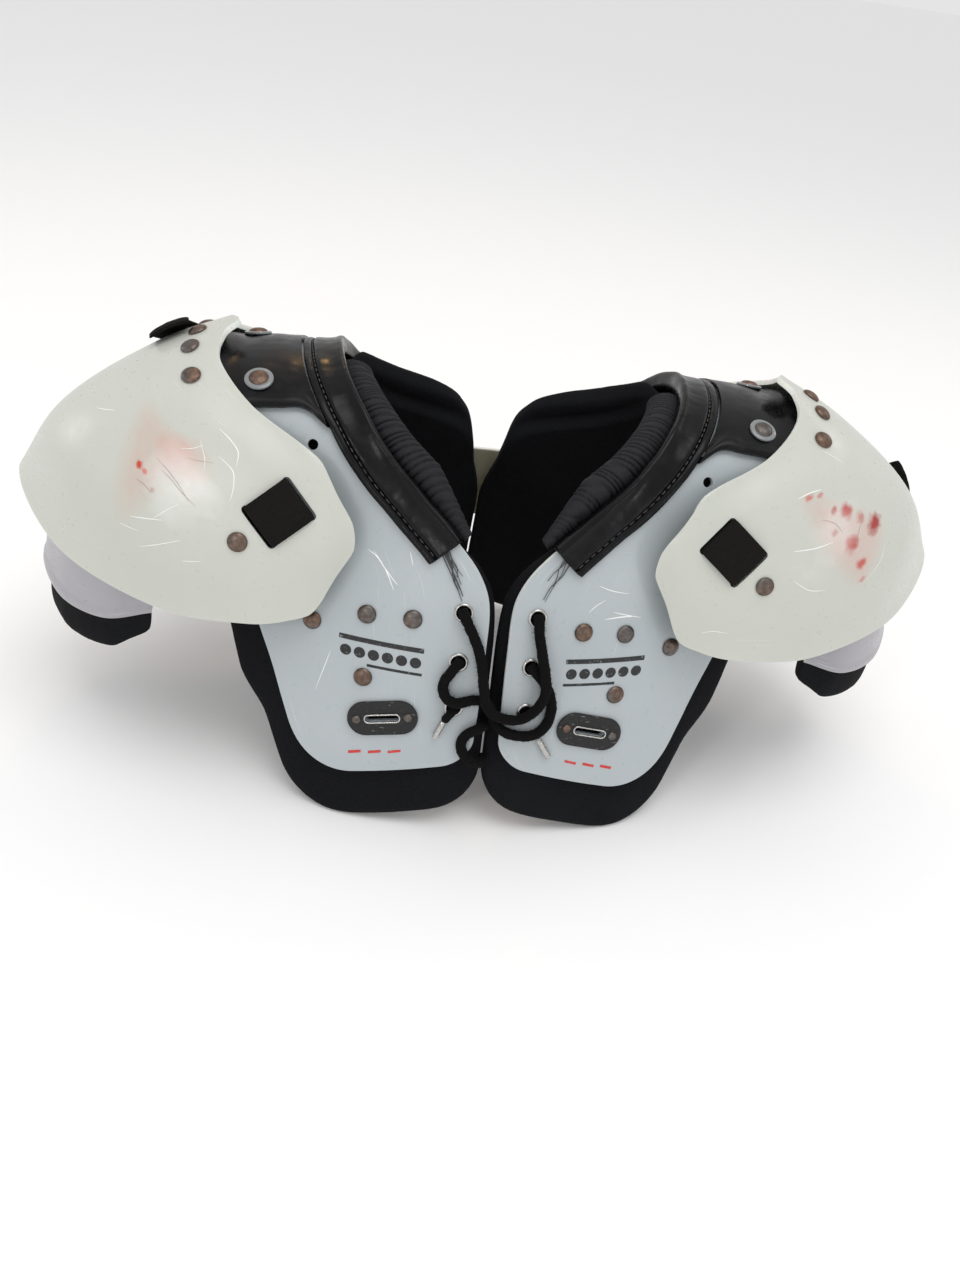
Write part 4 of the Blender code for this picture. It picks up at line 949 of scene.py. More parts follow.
# Saddle straps
# Padded black vinyl laid across the crest of each arch: it carries the flap and is its hinge.
# Its long edges are turned under and sewn, and years of flexing have creased it across.
STRAP_HALF, STRAP_THICKNESS, STRAP_GAP = 48.0, 3.0, 1.1
STRAP_ON_FLAP = (0.26, 0.44)
UNDER_FLAP = -FLAP_THICKNESS - 0.9 - STRAP_THICKNESS
for label, side in SIDES:

    def on_strap(u, v):
        share = 2 * u - 1
        s = STRAP_HALF * share
        lift = PLATE_THICKNESS + STRAP_GAP
        hinge = FLAP_END / 2 + 2.0 * share
        inner = neck_point(s, 20.5, lift)
        row = [inner]
        row += [arch_point(s, x, lift) for x in ((inner.x * 2 + 138) / 3, (inner.x + 276) / 3, 138, 151)]
        row += [shell_point(flap_skin, FLAP_END, hinge, down, UNDER_FLAP) for down in STRAP_ON_FLAP]
        spot = v * (len(row) - 1)
        point = smooth_through(row, spot)
        normal = frame_on(arch_skin, s, min(point.x, 150))[3]
        hem = 0.5 * eased(abs(share), 0.86, 0.9) - 0.7 * eased(abs(share), 0.94, 1.0)
        crease = 0.35 * lumps(s / 22.0, point.x / 14.0, side * 2.0)
        crease += 0.06 * lumps(s / 5.0, point.x / 9.0, 8.0)
        return point + normal * (STRAP_THICKNESS + (hem + crease if spot < 4.6 else 0.0))

    strap = new_piece(f"saddle_strap_cover_{label}", laid_sheet(90, 90, side, on_strap), [vinyl])
    fitted(walled(strap, STRAP_THICKNESS, 0.9), "black_vinyl", f"saddle_strap_{label}")

# Deltoid cups
# A smaller shell under each flap, moulded in pale grey polyethylene with its lower edge rolled into a bead.
CUP_ROWS = (
    ((182, -40, 205), (186, -62, 185), (188, -72, 149), (190, -70, 101)),
    ((184, -34, 215), (196, -56, 191), (210, -70, 150), (218, -68, 94)),
    ((182, -18, 226), (208, -33, 203), (234, -46, 157), (248, -44, 92)),
    ((180, 0, 231), (214, 0, 209), (249, 0, 168), (266, 0, 94)),
)
CUP_THICKNESS, CUP_BEAD, CUP_BEAD_HEIGHT = 2.5, 0.035, 0.9
cup_skin = shell_skin(CUP_ROWS)
CUP_END = 2.0 * (len(CUP_ROWS) - 1)
cup_plastic = polyethylene("pale grey moulded polyethylene", "#a7a5aa", "#9b999f", 20.0)
for label, side in SIDES:

    def on_cup(u, v):
        rolled = max(0.0, v - 1 + CUP_BEAD) / CUP_BEAD
        bead = CUP_BEAD_HEIGHT * math.sin(rolled * math.pi)
        return shell_point(cup_skin, CUP_END, u * CUP_END, v * 3.0, bead)

    sheet = laid_sheet(110, 90, side, on_cup, lambda u, v: (0.18 * u, 0.12 * v))
    cup = new_piece(f"deltoid_shell_{label}", sheet, [cup_plastic, rim_plastic])
    fitted(walled(cup, CUP_THICKNESS, 0.9, (), 1), "pale_grey_polyethylene", f"deltoid_cup_{label}")

# Cup pads
# A nylon-covered foam pad inside each cup, which hangs 27 mm below the cup's edge and cushions the upper arm.
CUP_PAD_THICKNESS, CUP_PAD_DROP, CUP_PAD_END_DROP = 16.5, 27.0, 17.0
for label, side in SIDES:

    def on_cup_pad(u, v):
        place = 0.1 + (CUP_END - 0.2) * u
        bulge = math.sin(math.pi * u)
        drop = CUP_PAD_END_DROP + (CUP_PAD_DROP - CUP_PAD_END_DROP) * min(1.0, 2.6 * bulge) ** 0.6
        top = 1.0 + 0.5 * (1 - bulge)
        thickness = CUP_PAD_THICKNESS * (0.62 + 0.38 * min(1.0, 5 * bulge))
        down, depth = pad_section(v)
        lies = min(top + (3.0 - top) * down / 0.75, 3.0)
        below = max(0.0, down - 0.75) / 0.25 * drop
        fold = lumps(place * 3.1, down * 4.0, side * 4.0) + 0.5 * lumps(place * 9.0, down * 3.0, 2.0)
        full = thickness + 0.9 * fold * eased(down, 0.7, 0.9)
        height = -CUP_THICKNESS - 1.8 - thickness / 2 + full * depth
        rim_run = (cup_skin(place, 3.0) - cup_skin(place, 2.8)).normalized()
        return shell_point(cup_skin, CUP_END, place, lies, height) + rim_run * below

    cover = closed_loft(90, 56, side, on_cup_pad, (0.2, 0.2))
    pad = new_piece(f"deltoid_pad_cover_{label}", cover, [nylon], 70)
    fitted(pad, "black_nylon_over_foam", f"cup_pad_{label}")

# Flap loops
# Elastic webbing, 25 mm wide, riveted under the flap, up through one slot and down through the next.
# The arm strap hooks on it. Its face is a tight black knit with fine cross ribs and rounded selvedges.
LOOP_WIDTH, LOOP_THICKNESS = 25.2, 1.8
webbing, tree, place = new_finish("black elastic webbing", {"Roughness": 0.95, "Specular IOR Level": 0.15})
chart = node(tree, "UVMap", {"uv_map": "chart"})
ribs = node(tree, "TexWave", {"Vector": chart, "bands_direction": "X", "Scale": 260.0, "Distortion": 0.6})
cords = node(tree, "TexWave", {"Vector": chart, "bands_direction": "Y", "Scale": 330.0, "Distortion": 0.4})
knit = node(tree, "Math", {"operation": "MULTIPLY", 0: ribs, 1: cords})
lint = node(tree, "TexNoise", {"Vector": place, "Scale": 900.0, "Detail": 3.0})
relief = node(tree, "Math", {"operation": "ADD", 0: knit, 1: lint})
bump = node(tree, "Bump", {"Strength": 0.5, "Distance": 0.0003, "Height": relief})
feed(tree, {"Base Color": blended(tree, lint, "#0b0b0a", "#1d1b19"), "Normal": bump})


def band_section(turn, squareness):
    """Across and upward share of a band's section, from -1 to 1: flat, with rounded edges."""
    flat, thick = math.cos(turn * math.tau), math.sin(turn * math.tau)
    return math.copysign(abs(flat) ** squareness, flat), math.copysign(abs(thick) ** 0.8, thick)


def webbing_band(stations, side, depth):
    """A flat band with rounded edges through stations of centre, width direction and upward direction."""

    def on_band(u, v):
        spot = u * (len(stations) - 1)
        centre, across, up = (smooth_through(row, spot) for row in zip(*stations))
        flat, thick = band_section(v, 0.28)
        point = centre + across.normalized() * flat * LOOP_WIDTH / 2
        point += up.normalized() * thick * LOOP_THICKNESS / 2
        return Vector((point.x, depth * point.y, point.z))

    return closed_loft((len(stations) - 1) * 6, 48, side, on_band, (0.07, 0.05))


for label, side in SIDES:
    for facing, depth in (("front", 1), ("back", -1)):
        under, over = -FLAP_THICKNESS - 2.2 - LOOP_THICKNESS / 2, 0.5 + LOOP_THICKNESS / 2
        quarter, span = math.pi / 2, LOOP_SLOTS[1]
        stations = []
        for offset, height, lean in (
            (-31, under, 0), (-22, under, 0), (-span - 1.6, under + 0.2, 0),
            (-span, under + 1.7, -quarter * 0.6), (-span, -1.5, -quarter),
            (-span + 0.4, over - 0.5, -quarter * 0.6), (-span + 2.0, over + 0.4, 0),
            (-6, over + 0.5, 0), (0, over + 0.6, 0), (6, over + 0.5, 0), (span - 2.0, over + 0.4, 0),
            (span - 0.4, over - 0.5, quarter * 0.6), (span, -1.5, quarter), (span, under - 2, quarter),
        ):
            point, _, _, up = shell_frame(flap_skin, FLAP_END, *flap_place_near(LOOP_PLACE, run * offset))
            along = width.cross(up)
            stations.append((point + up * height, width, up * math.cos(lean) + along * math.sin(lean)))
        band = new_piece(f"webbing_loop_{facing}_{label}", webbing_band(stations, side, depth), [webbing], 80)
        fitted(band, "black_elastic_webbing", f"flap_loop_{facing}_{label}")

# Rivets
# Tubular rivets with domed caps of brass, darkened by age: the chest ones hold the padding's straps,
# the shoulder ones the flap and its loop. Some have lost their brown and gone grey.
CHEST_RIVETS = ((154.0, 46.5), (156.0, 71.0), (166.5, 100.0), (192.0, 70.5))
HINGE_RIVETS = ((1.75, 0.5), (0.92, 0.42), (-0.1, 0.43), (-1.5, 0.48))
CAP_GAP = 0.3
CAP_PROFILE = (
    (0.0, -0.25), (4.7, -0.25), (5.1, -0.05), (5.25, 0.3), (5.1, 0.75), (4.6, 1.25), (3.8, 1.7), (2.8, 2.05),
    (1.8, 2.28), (1.1, 2.36), (0.6, 2.3), (0.0, 2.22),
)


def turned(profile, steps):
    """A solid of revolution about its own Z axis. The profile ends on the axis, or is a closed ring."""
    shape = bmesh.new()
    corners = [shape.verts.new((r * MM, 0, z * MM)) for r, z in profile]
    edges = [shape.edges.new(pair) for pair in zip(corners, corners[1:])]
    if profile[0][0] > 0:
        edges.append(shape.edges.new((corners[-1], corners[0])))
    bmesh.ops.spin(
        shape, geom=corners + edges, cent=(0, 0, 0), axis=(0, 0, 1),
        angle=math.tau, steps=steps, use_merge=True,
    )
    bmesh.ops.remove_doubles(shape, verts=shape.verts, dist=0.005 * MM)
    bmesh.ops.recalc_face_normals(shape, faces=shape.faces)
    return shape


def on_flap_seat(place, height, side):
    point, along, _, normal = shell_frame(flap_skin, FLAP_END, *place)
    return seat_matrix(point + normal * height, along, normal, side)


# Antiqued brass: brown oxide over a metallic ground, rubbed brighter on the dome, uneven from cap to cap.
brass, tree, place = new_finish("antiqued brass", {"Metallic": 1.0, "Roughness": 0.42})
cap_tone = node(tree, "TexNoise", {"Vector": place, "Scale": 38.0, "Detail": 0.0})
greyness = node(tree, "MapRange", {"Value": cap_tone, "From Min": 0.42, "From Max": 0.62})
patina = node(tree, "TexNoise", {"Vector": place, "Scale": 420.0, "Detail": 4.0, "Roughness": 0.6})
spots = node(tree, "MapRange", {"Value": patina, "From Min": 0.25, "From Max": 0.7})
rubbed = blended(tree, greyness, "#80695b", "#71706f")
matt = node(tree, "MapRange", {"Value": patina, "To Min": 0.55, "To Max": 0.3})
bump = node(tree, "Bump", {"Strength": 0.35, "Distance": 0.00012, "Height": patina})
feed(tree, {"Base Color": blended(tree, spots, "#54473f", rubbed), "Roughness": matt, "Normal": bump})


def metal_fitting(name, profile, steps, stand, finish, slot, *nodes):
    """A turned fitting on its seat."""
    fitted(new_piece(name, seated(turned(profile, steps), stand), [finish]), slot, *nodes)


for label, side in SIDES:
    seats = []
    for number, place in enumerate(CHEST_RIVETS, 1):
        seats.append(("chest", f"{number}_{label}", on_arch_seat(place, PLATE_THICKNESS + CAP_GAP, side)))
    for number, (offset, down) in enumerate(HINGE_RIVETS, 1):
        place = FLAP_END / 2 + offset, down
        seats.append(("hinge", f"{number}_{label}", on_flap_seat(place, CAP_GAP, side)))
    seats.append(("loop", label, on_flap_seat(LOOP_RIVET_PLACE, CAP_GAP, side)))
    for part, end, stand in seats:
        fits = stand, brass, "antiqued_brass", f"{part}_rivet_{end}"
        metal_fitting(f"{part}_cap_{end}", CAP_PROFILE, 40, *fits)

# Strap washers
# A clear nylon washer under a domed brass cap, which spreads the rivet's pull over the soft strap.
WASHER_PLACES = ((33.0, 136.0), (-22.0, 143.0))
WASHER_LIFT = PLATE_THICKNESS + STRAP_THICKNESS + 1.2
WASHER_PROFILE = (
    (3.6, -0.2), (7.2, -0.2), (7.6, 0.2), (7.55, 0.9), (7.0, 1.35), (6.2, 1.45), (5.4, 1.3), (4.6, 1.5),
    (3.6, 1.6),
)
WASHER_CAP = (
    (0.0, 0.6), (5.0, 0.9), (5.2, 1.3), (5.0, 1.8), (4.3, 2.4), (3.2, 2.9), (1.8, 3.2), (0.7, 3.27),
    (0.0, 3.22),
)
# Clear nylon, greyed by the vinyl under it: glossy, with cloudy patches.
clear_nylon, tree, place = new_finish(
    "clear nylon washer", {"Base Color": linear("#7b7e80"), "Roughness": 0.16, "IOR": 1.5, "Coat Weight": 0.6}
)
cloud = node(tree, "TexNoise", {"Vector": place, "Scale": 300.0, "Detail": 3.0})
matt = node(tree, "MapRange", {"Value": cloud, "To Min": 0.08, "To Max": 0.34})
feed(tree, {"Roughness": matt})
for label, side in SIDES:
    for number, place in enumerate(WASHER_PLACES, 1):
        end, stand = f"{number}_{label}", on_arch_seat(place, WASHER_LIFT, side)
        stands_for = "antiqued_brass", f"strap_washer_{end}"
        metal_fitting(f"clear_washer_{end}", WASHER_PROFILE, 48, stand, clear_nylon, *stands_for)
        metal_fitting(f"washer_cap_{end}", WASHER_CAP, 40, stand, brass, *stands_for)

# Eyelets
# Nickel-plated brass eyelets, rolled over the plate's punched holes so that the lace runs on a round lip.
EYELET_PROFILE = (
    (3.5, -1.4), (4.9, -1.4), (4.9, -0.6), (4.0, -0.6), (4.0, 3.1), (4.9, 3.05), (5.25, 3.3), (5.3, 3.7),
    (5.0, 4.1), (4.5, 4.35), (4.0, 4.3), (3.65, 3.95), (3.5, 3.4),
)
for label, side in SIDES:
    for number, place in enumerate(EYELETS, 1):
        name, stand = f"eyelet_{number}_{label}", on_arch_seat(place, 0.0, side)
        metal_fitting("rolled_" + name, EYELET_PROFILE, 40, stand, nickel, "nickel_plate", name)

# Belt slot facings
# A patch of black vulcanised fibre over the belt slot, fixed with two small rivets, with a nickel ferrule.
# Its face is rubbed and furred, with pale scratches.
fibre, tree, place = new_finish("black vulcanised fibre", {"Roughness": 0.6})
fur = node(tree, "TexNoise", {"Vector": place, "Scale": 420.0, "Detail": 8.0, "Roughness": 0.75})
rubbed = node(tree, "MapRange", {"Value": fur, "From Min": 0.55, "From Max": 0.72})
drawn = node(tree, "Mapping", {"Vector": place, "Rotation": (0.3, 0.9, 0.2), "Scale": (1, 30, 30)})
nicks = node(tree, "TexNoise", {"Vector": drawn, "Scale": 40.0})
pale = node(tree, "MapRange", {"Value": nicks, "From Min": 0.68, "From Max": 0.72, "To Max": 0.7})
nicked = blended(tree, pale, blended(tree, rubbed, "#08080a", "#3d3a36"), "#8c8a84")
bump = node(tree, "Bump", {"Strength": 0.6, "Distance": 0.0003, "Height": fur})
matt = node(tree, "MapRange", {"Value": fur, "To Min": 0.35, "To Max": 0.85})
feed(tree, {"Base Color": nicked, "Normal": bump, "Roughness": matt})
PATCH_LENGTH, PATCH_WIDTH, PATCH_BACK, PATCH_FACE = 40.0, 20.0, 3.05, 4.9
MOUTH_LENGTH, MOUTH_WIDTH = 20.0, 4.6
LIP_HALF_STRAIGHT, LIP_RADIUS, LIP_HEIGHT, LIP_WIRE = 7.7, 2.3, 5.1, 0.5
SMALL_RIVET_REACH, SMALL_RIVET_SCALE = 14.6, (0.48, 0.48, 0.55, 1.0)


def on_lip(u, v):
    turn, round_lip = (u + 0.5 / 64) * math.tau, v * math.tau
    reach = LIP_RADIUS + LIP_WIRE * math.cos(round_lip)
    along = math.copysign(LIP_HALF_STRAIGHT, math.cos(turn)) + reach * math.cos(turn)
    return Vector((along, reach * math.sin(turn), LIP_HEIGHT + LIP_WIRE * math.sin(round_lip)))


for label, side in SIDES:
    stand = belt_slot_seat(side)
    slab = seated(stadium_prism(PATCH_LENGTH, PATCH_WIDTH, PATCH_BACK, PATCH_FACE, 14), stand)
    patch = new_piece(f"belt_slot_patch_{label}", slab, [fibre])
    cutter = new_piece("punch", seated(stadium_prism(MOUTH_LENGTH, MOUTH_WIDTH, *PUNCH_REACH), stand), [])
    hole = patch.modifiers.new("mouth", "BOOLEAN")
    hole.object, hole.solver = cutter, "EXACT"
    ease = patch.modifiers.new("worn edge", "BEVEL")
    ease.width, ease.segments, ease.angle_limit = 0.6 * MM, 3, math.radians(50)
    shaped = bpy.data.meshes.new_from_object(patch.evaluated_get(bpy.context.evaluated_depsgraph_get()))
    patch.modifiers.clear()
    bpy.data.meshes.remove(cutter.data)
    patch.data = shaped
    shaped.set_sharp_from_angle(angle=math.radians(50))
    fitted(patch, "black_vinyl", f"belt_slot_facing_{label}")
    lip = new_piece(f"belt_slot_lip_{label}", seated(closed_loft(64, 14, 1, on_lip), stand), [nickel], 60)
    fitted(lip, "nickel_plate", f"belt_slot_ferrule_{label}")
    for letter, end in (("a", -1), ("b", 1)):
        moved = stand @ Matrix.Translation((end * SMALL_RIVET_REACH * MM, 0, PATCH_FACE * MM))
        seat = moved @ Matrix.Diagonal(SMALL_RIVET_SCALE)
        metal_fitting(f"patch_rivet_{letter}_{label}", CAP_PROFILE, 28, seat, brass, "antiqued_brass")

# Scratches
# Long scratches cut into the flaps and plates by other pads. The cut plastic stands up as a thin white burr,
# matt beside the glossy skin, and the older ones have taken up brown dirt. On the chest plates the white
# strips lie where bright highlight lines run, and are partly scratches and partly painted highlights.
# Its white is the scratches' burr, and also the painted highlight lines on the chest plates.
scraped_plastic_and_highlight, tree, place = new_finish("scraped polyethylene burr and painted highlight", {"Roughness": 0.7, "IOR": 1.5})
flecked(tree, place, 900.0, 2.0, "#e6e7e4", "#ffffff")
dirty_scratch, tree, place = new_finish("dirt in an old scratch", {"Roughness": 0.8})
flecked(tree, place, 700.0, 2.0, "#b8a294", "#9d8577")
# Each scratch is its width in millimetres and its points: (u, v) on a flap, (s, x) on a plate.
FLAP_SCRATCHES = {
    "left": (
        (0.55, ((8.6, 0.77), (8.75, 0.8), (8.9, 0.9), (8.9, 1.1))),
        (0.5, ((8.66, 1.1), (8.85, 1.17), (8.88, 1.33), (8.85, 1.5))),
        (0.5, ((7.8, 2.1), (7.98, 2.03), (8.15, 1.97))), (0.35, ((7.7, 2.23), (7.9, 2.2))),
        (0.4, ((7.9, 2.37), (8.12, 2.24), (8.35, 2.1))), (0.4, ((8.35, 2.33), (8.55, 2.27))),
        (0.45, ((6.8, 1.53), (6.95, 1.47), (7.1, 1.4))), (0.3, ((8.2, 1.25), (8.34, 1.18), (8.46, 1.08))),
        (0.3, ((8.4, 1.05), (8.5, 1.2), (8.52, 1.32))), (0.35, ((8.05, 2.0), (8.2, 1.84), (8.3, 1.75))),
    ),
    "right": (
        (0.55, ((8.62, 0.97), (8.44, 0.97), (8.25, 1.0))), (0.55, ((8.65, 1.57), (8.4, 1.6), (8.15, 1.6))),
        (0.35, ((7.95, 0.57), (7.78, 0.76), (7.6, 0.97))), (0.4, ((8.6, 1.9), (8.4, 2.05), (8.2, 2.1))),
        (0.35, ((9.9, 2.7), (9.6, 2.62), (9.3, 2.6))), (0.3, ((7.4, 1.9), (7.5, 2.05), (7.7, 2.2))),
    ),
}
DIRTY_SCRATCHES = {
    "left": (
        (0.3, ((8.05, 1.53), (8.18, 1.56), (8.32, 1.63), (8.48, 1.7))),
        (0.3, ((7.95, 1.46), (8.12, 1.5), (8.28, 1.58), (8.4, 1.68))),
        (0.4, ((7.78, 1.73), (7.9, 1.74), (8.0, 1.77))), (0.25, ((8.3, 1.3), (8.45, 1.26), (8.62, 1.2))),
    ),
    "right": (
        (0.35, ((8.3, 1.33), (8.12, 1.42), (8.0, 1.55))), (0.3, ((7.6, 1.5), (7.75, 1.62), (7.8, 1.75))),
    ),
}
# White strips on the chest plates, laid where bright highlight lines run: partly scratches, partly painted
# highlights.
PLATE_SCRATCHES_AND_HIGHLIGHTS = {
    "left": (
        (0.5, ((121, 73), (124, 68), (129, 64))), (0.6, ((121, 70), (130, 63), (140, 58))),
        (0.4, ((118, 51), (125, 49))), (0.5, ((126, 66), (133, 60), (137, 56))),
        (0.35, ((205, 96), (192, 92), (181, 89))),
    ),
    "right": (
        (0.7, ((147, 58), (146, 67), (146, 76))), (0.5, ((143, 62), (145, 70), (147, 79))),
        (0.45, ((128, 52), (131, 60), (133, 70))), (0.4, ((136, 57), (139, 52), (143, 48))),
    ),
}


INK_LIFT = 0.05


def scratch_strips(scratches, side, lift_point):
    """Tapering strips a hair above a surface, whose points in millimetres are lift_point(a, b, height)."""
    shape, outward = bmesh.new(), {}
    for wide, knots in scratches:
        knots = [Vector((*knot, 0)) for knot in knots]
        for corner in bmesh.ops.create_grid(shape, x_segments=24, y_segments=1, size=0.5)["verts"]:
            share = corner.co.x + 0.5
            near = (share, min(share + 0.02, 1.0), max(share - 0.02, 0.0))
            here, ahead, behind = (smooth_through(knots, part * (len(knots) - 1) * 0.999).xy for part in near)
            centre = lift_point(*here, INK_LIFT)
            up = (lift_point(*here, INK_LIFT + 1.0) - centre).normalized()
            along = lift_point(*ahead, INK_LIFT) - lift_point(*behind, INK_LIFT)
            reach = wide * corner.co.y * math.sin(math.pi * (0.06 + 0.88 * share)) ** 0.7
            corner.co = on_side(centre + up.cross(along).normalized() * reach, side)
            outward[corner] = on_side(up, side)
    for face in shape.faces:
        face.normal_update()
    turned_in = [face for face in shape.faces if face.normal.dot(outward[face.verts[0]]) < 0]
    bmesh.ops.reverse_faces(shape, faces=turned_in)
    return shape


def above_flap(u, v, height):
    return shell_point(flap_skin, FLAP_END, u, v, height)


def above_plate(s, x, height):
    return arch_point(s, x, PLATE_THICKNESS + height)


for label, side in SIDES:
    for name, scratches, finish, surface in (
        ("flap_scratches", FLAP_SCRATCHES, scraped_plastic_and_highlight, above_flap),
        ("old_flap_scratches", DIRTY_SCRATCHES, dirty_scratch, above_flap),
        ("plate_scratches_and_highlights", PLATE_SCRATCHES_AND_HIGHLIGHTS, scraped_plastic_and_highlight, above_plate),
    ):
        strips = scratch_strips(scratches[label], side, surface)
        fitted(new_piece(f"{name}_{label}", strips, [finish]), "moulded_polyethylene")

# Screen prints
# A plain band of bars and discs in black vinyl ink on each chest plate, with three short red dashes below it.
# The ink is a few hundredths of a millimetre thick, satin, and rubbed away in specks down to the plastic.
def worn_ink(name, colour, bare):
    made, tree, place = new_finish(name, {"Roughness": 0.42, "IOR": 1.5})
    specks = node(tree, "TexNoise", {"Vector": place, "Scale": 650.0, "Detail": 5.0, "Roughness": 0.7})
    rubbed = node(tree, "MapRange", {"Value": specks, "From Min": 0.6, "From Max": 0.66})
    feed(tree, {"Base Color": blended(tree, rubbed, colour, bare)})
    return made


black_ink = worn_ink("rubbed black screen ink", "#17171a", "#8f9496")
red_ink = worn_ink("rubbed red screen ink", "#c2322b", "#c9a9a6")


def print_bar(shape, s, x, long, wide, lean=0.0):
    """Adds a bar laid on the plate, centred at (s, x), its length across the plate and turned by lean."""
    for corner in bmesh.ops.create_grid(shape, x_segments=16, y_segments=2, size=0.5)["verts"]:
        across, down = corner.co.x * long, corner.co.y * wide
        lowered = down * math.cos(lean) + across * math.sin(lean)
        moved = across * math.cos(lean) - down * math.sin(lean)
        corner.co = above_plate(s + lowered, x + moved, INK_LIFT)


def print_disc(shape, s, x, radius):
    for corner in bmesh.ops.create_circle(shape, cap_ends=True, segments=24, radius=radius)["verts"]:
        corner.co = above_plate(s + corner.co.y, x + corner.co.x, INK_LIFT)


for label, side in SIDES:
    black, red = bmesh.new(), bmesh.new()
    print_bar(black, 171.0, 62.0, 46.0, 2.8)
    for index in range(6):
        print_disc(black, 178.4, 43.0 + index * 7.6, 3.1)
    print_bar(black, 184.8, 54.0, 30.0, 1.6)
    for index in range(3):
        print_bar(red, 235.5, 50.0 + index * 11.0, 7.0, 1.7, 0.08)
    for name, shape, ink in (("black_print", black, black_ink), ("red_print", red, red_ink)):
        for corner in shape.verts:
            corner.co = on_side(corner.co, side)
        outward = on_side(above_plate(175, 60, 1.0), side) - on_side(above_plate(175, 60, 0.0), side)
        bmesh.ops.recalc_face_normals(shape, faces=shape.faces)
        turned_in = [face for face in shape.faces if face.normal.dot(outward) < 0]
        bmesh.ops.reverse_faces(shape, faces=turned_in)
        fitted(new_piece(f"{name}_{label}", shape, [ink]), "moulded_polyethylene")

# Arm strap ends
# The free ends of the elastic straps that hold each arm cup: they run from the back loop over the flap
# and stand a little clear of it, where they show above the flap's ridge.
ARM_STRAP_HALF_WIDTH, ARM_STRAP_HALF_THICKNESS, ARM_STRAP_CURL = 11.5, 0.9, 1.6
# Points along each strap: its (u, v) on the flap and its height above it.
ARM_STRAP_RUNS = {
    "left": (
        (3.0, 1.3, 3.2), (3.8, 1.15, 2.2), (4.6, 0.95, 2.2), (5.2, 0.8, 3.6), (5.7, 0.7, 6.2),
        (5.95, 0.68, 6.0),
    ),
    "right": (
        (3.0, 1.7, 3.2), (3.8, 1.9, 2.2), (4.5, 2.15, 4.0), (4.95, 2.35, 8.5), (5.3, 2.45, 14.0),
        (5.5, 2.38, 19.0),
    ),
}
for label, side in SIDES:
    centres, ups = [], []
    for u, v, height in ARM_STRAP_RUNS[label]:
        point, _, _, up = shell_frame(flap_skin, FLAP_END, u, v)
        centres.append(point + up * (height + 1.0))
        ups.append(up)

    def on_arm_strap(u, v):
        spot = u * (len(centres) - 1) * 0.9999
        ahead = smooth_through(centres, min(spot + 0.05, len(centres) - 1.001))
        behind = smooth_through(centres, max(spot - 0.05, 0.0))
        up = smooth_through(ups, spot)
        across = (ahead - behind).cross(up).normalized()
        flat, thick = band_section(v, 0.3)
        rise = thick * ARM_STRAP_HALF_THICKNESS - ARM_STRAP_CURL * flat * flat
        return smooth_through(centres, spot) + across * flat * ARM_STRAP_HALF_WIDTH + up.normalized() * rise

    band = closed_loft(60, 40, side, on_arm_strap, (0.09, 0.05))
    fitted(new_piece(f"arm_strap_end_{label}", band, [webbing], 80), "black_elastic_webbing")

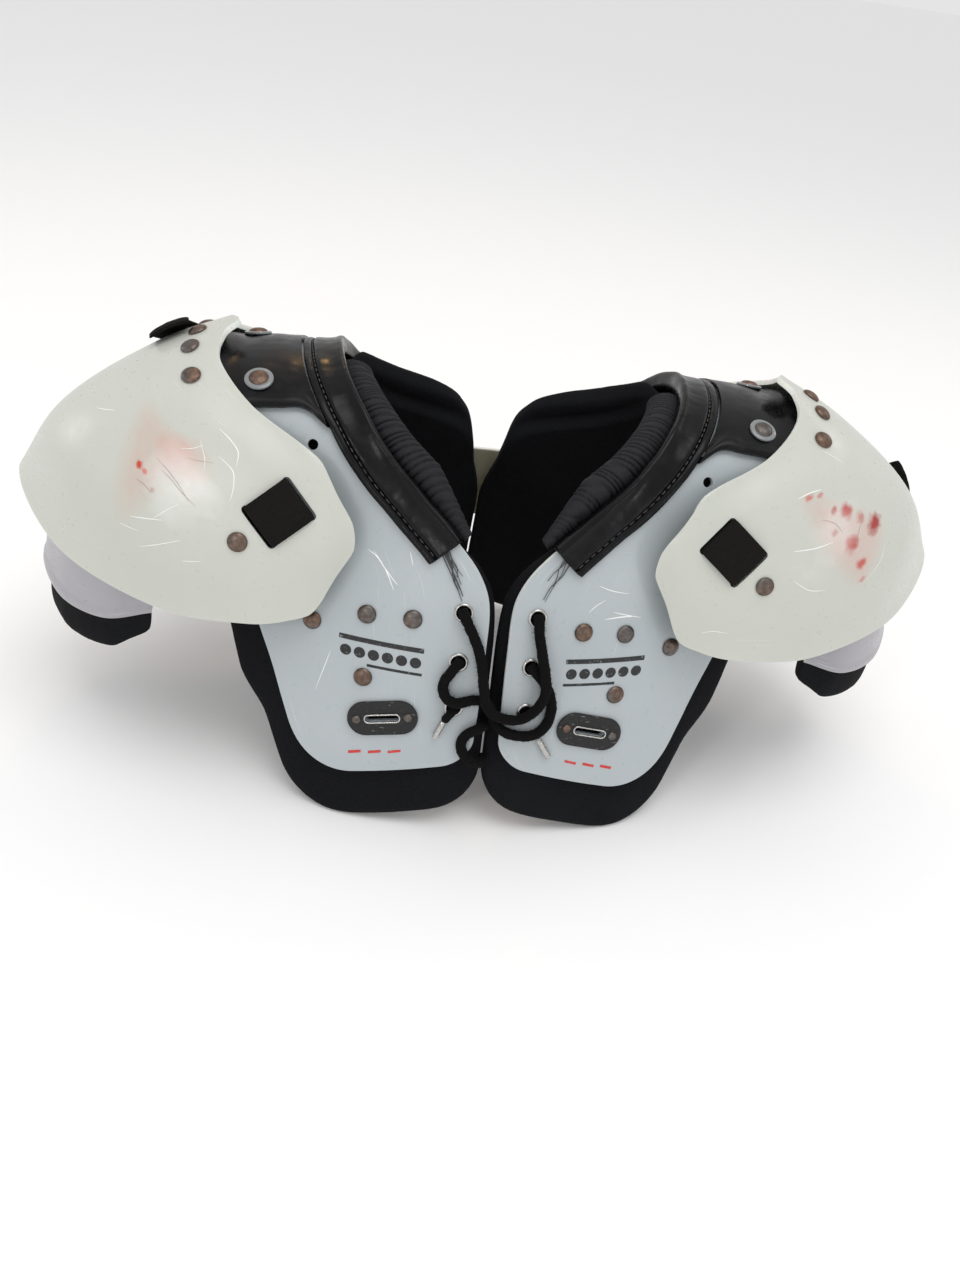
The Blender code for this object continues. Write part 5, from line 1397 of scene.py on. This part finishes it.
# Frayed binding
# Threads that have come loose at the front end of each neck binding, where the folded vinyl has split.
# They lie on the chest plate in a small tassel, thicker on the left.
for label, side, count in (("left", -1, 9), ("right", 1, 4)):
    chance = random.Random(31 + side)
    threads = bmesh.new()
    for index in range(count):
        spread = index / max(1, count - 1) - 0.5
        start = Vector((112.0 + chance.uniform(-1, 1), 34.0 + spread * 5.0, 0))
        reach = chance.uniform(14.0, 30.0)
        knots = []
        for t in (0.0, 0.2, 0.45, 0.7, 1.0):
            sideways = start.y - (11.0 + 9.0 * spread) * t + chance.uniform(-1.3, 1.3) * t
            height = 0.5 + 1.8 * t * (1 - t) * chance.uniform(0.3, 1.6)
            knots.append(above_plate(start.x + reach * t, sideways, height))
        points = run_along(knots, 1.0)
        wander = chance.uniform(0.22, 0.42)
        strand = rolled_tube(points, 6, lambda distance, turn: wander * (1 - 0.5 * distance / (reach + 6.0)))
        for corner in strand.verts:
            corner.co = on_side(corner.co / MM, side)
        part = bpy.data.meshes.new("strand")
        strand.to_mesh(part)
        strand.free()
        threads.from_mesh(part)
        bpy.data.meshes.remove(part)
    bmesh.ops.recalc_face_normals(threads, faces=threads.faces)
    fitted(new_piece(f"frayed_threads_{label}", threads, [seam_thread]), "black_vinyl")

# Floor and light
# A plain pale floor under soft studio light: a white sky dome, a broad key from the front left,
# softer panels on the right and behind, and a warm ceiling lamp that shines in the vinyl.
floor_shape = bmesh.new()
bmesh.ops.create_grid(floor_shape, x_segments=1, y_segments=1, size=20)
floor_look = {"Roughness": 0.95, "Base Color": linear("#fafafa")}
floor_paint, tree, place = new_finish("matt white floor paint", floor_look)
new_piece("floor", floor_shape, [floor_paint])
lit_middle = Vector((0, 0, 0.15))
world = bpy.data.worlds.new("soft white sky")
bpy.context.scene.world = world
world.use_nodes = True
world.node_tree.nodes["Background"].inputs["Color"].default_value = (1.0, 1.0, 1.0, 1.0)
world.node_tree.nodes["Background"].inputs["Strength"].default_value = 0.78
for name, direction, distance, size, power, colour in (
    ("key from the front left", (-0.51, -0.75, 0.45), 1.7, 0.22, 2.2, "#fffdf8"),
    ("low front panel", (-0.24, -0.96, 0.16), 2.0, 0.2, 0.9, "#ffffff"),
    ("right front panel", (0.66, -0.74, 0.16), 1.8, 0.22, 1.0, "#ffffff"),
    ("right back panel", (0.79, 0.33, 0.53), 1.6, 0.2, 0.8, "#ffffff"),
    ("left back panel", (-0.91, 0.34, 0.26), 1.6, 0.3, 1.0, "#ffffff"),
    ("ceiling", (0.1, -0.25, 1.0), 2.2, 1.6, 16.0, "#ffffff"),
    ("warm ceiling lamp", (-0.12, 0.62, 0.72), 1.4, 0.16, 0.9, "#ffc987"),
):
    lamp = bpy.data.lights.new(name, "AREA")
    lamp.shape, lamp.size, lamp.energy, lamp.color = "DISK", size, power, linear(colour)[:3]
    holder = bpy.data.objects.new(name, lamp)
    holder.location = Vector(direction).normalized() * distance + lit_middle
    holder.rotation_euler = (lit_middle - holder.location).to_track_quat("-Z", "Y").to_euler()
    bpy.context.scene.collection.objects.link(holder)
bpy.context.scene.view_settings.view_transform = "Standard"
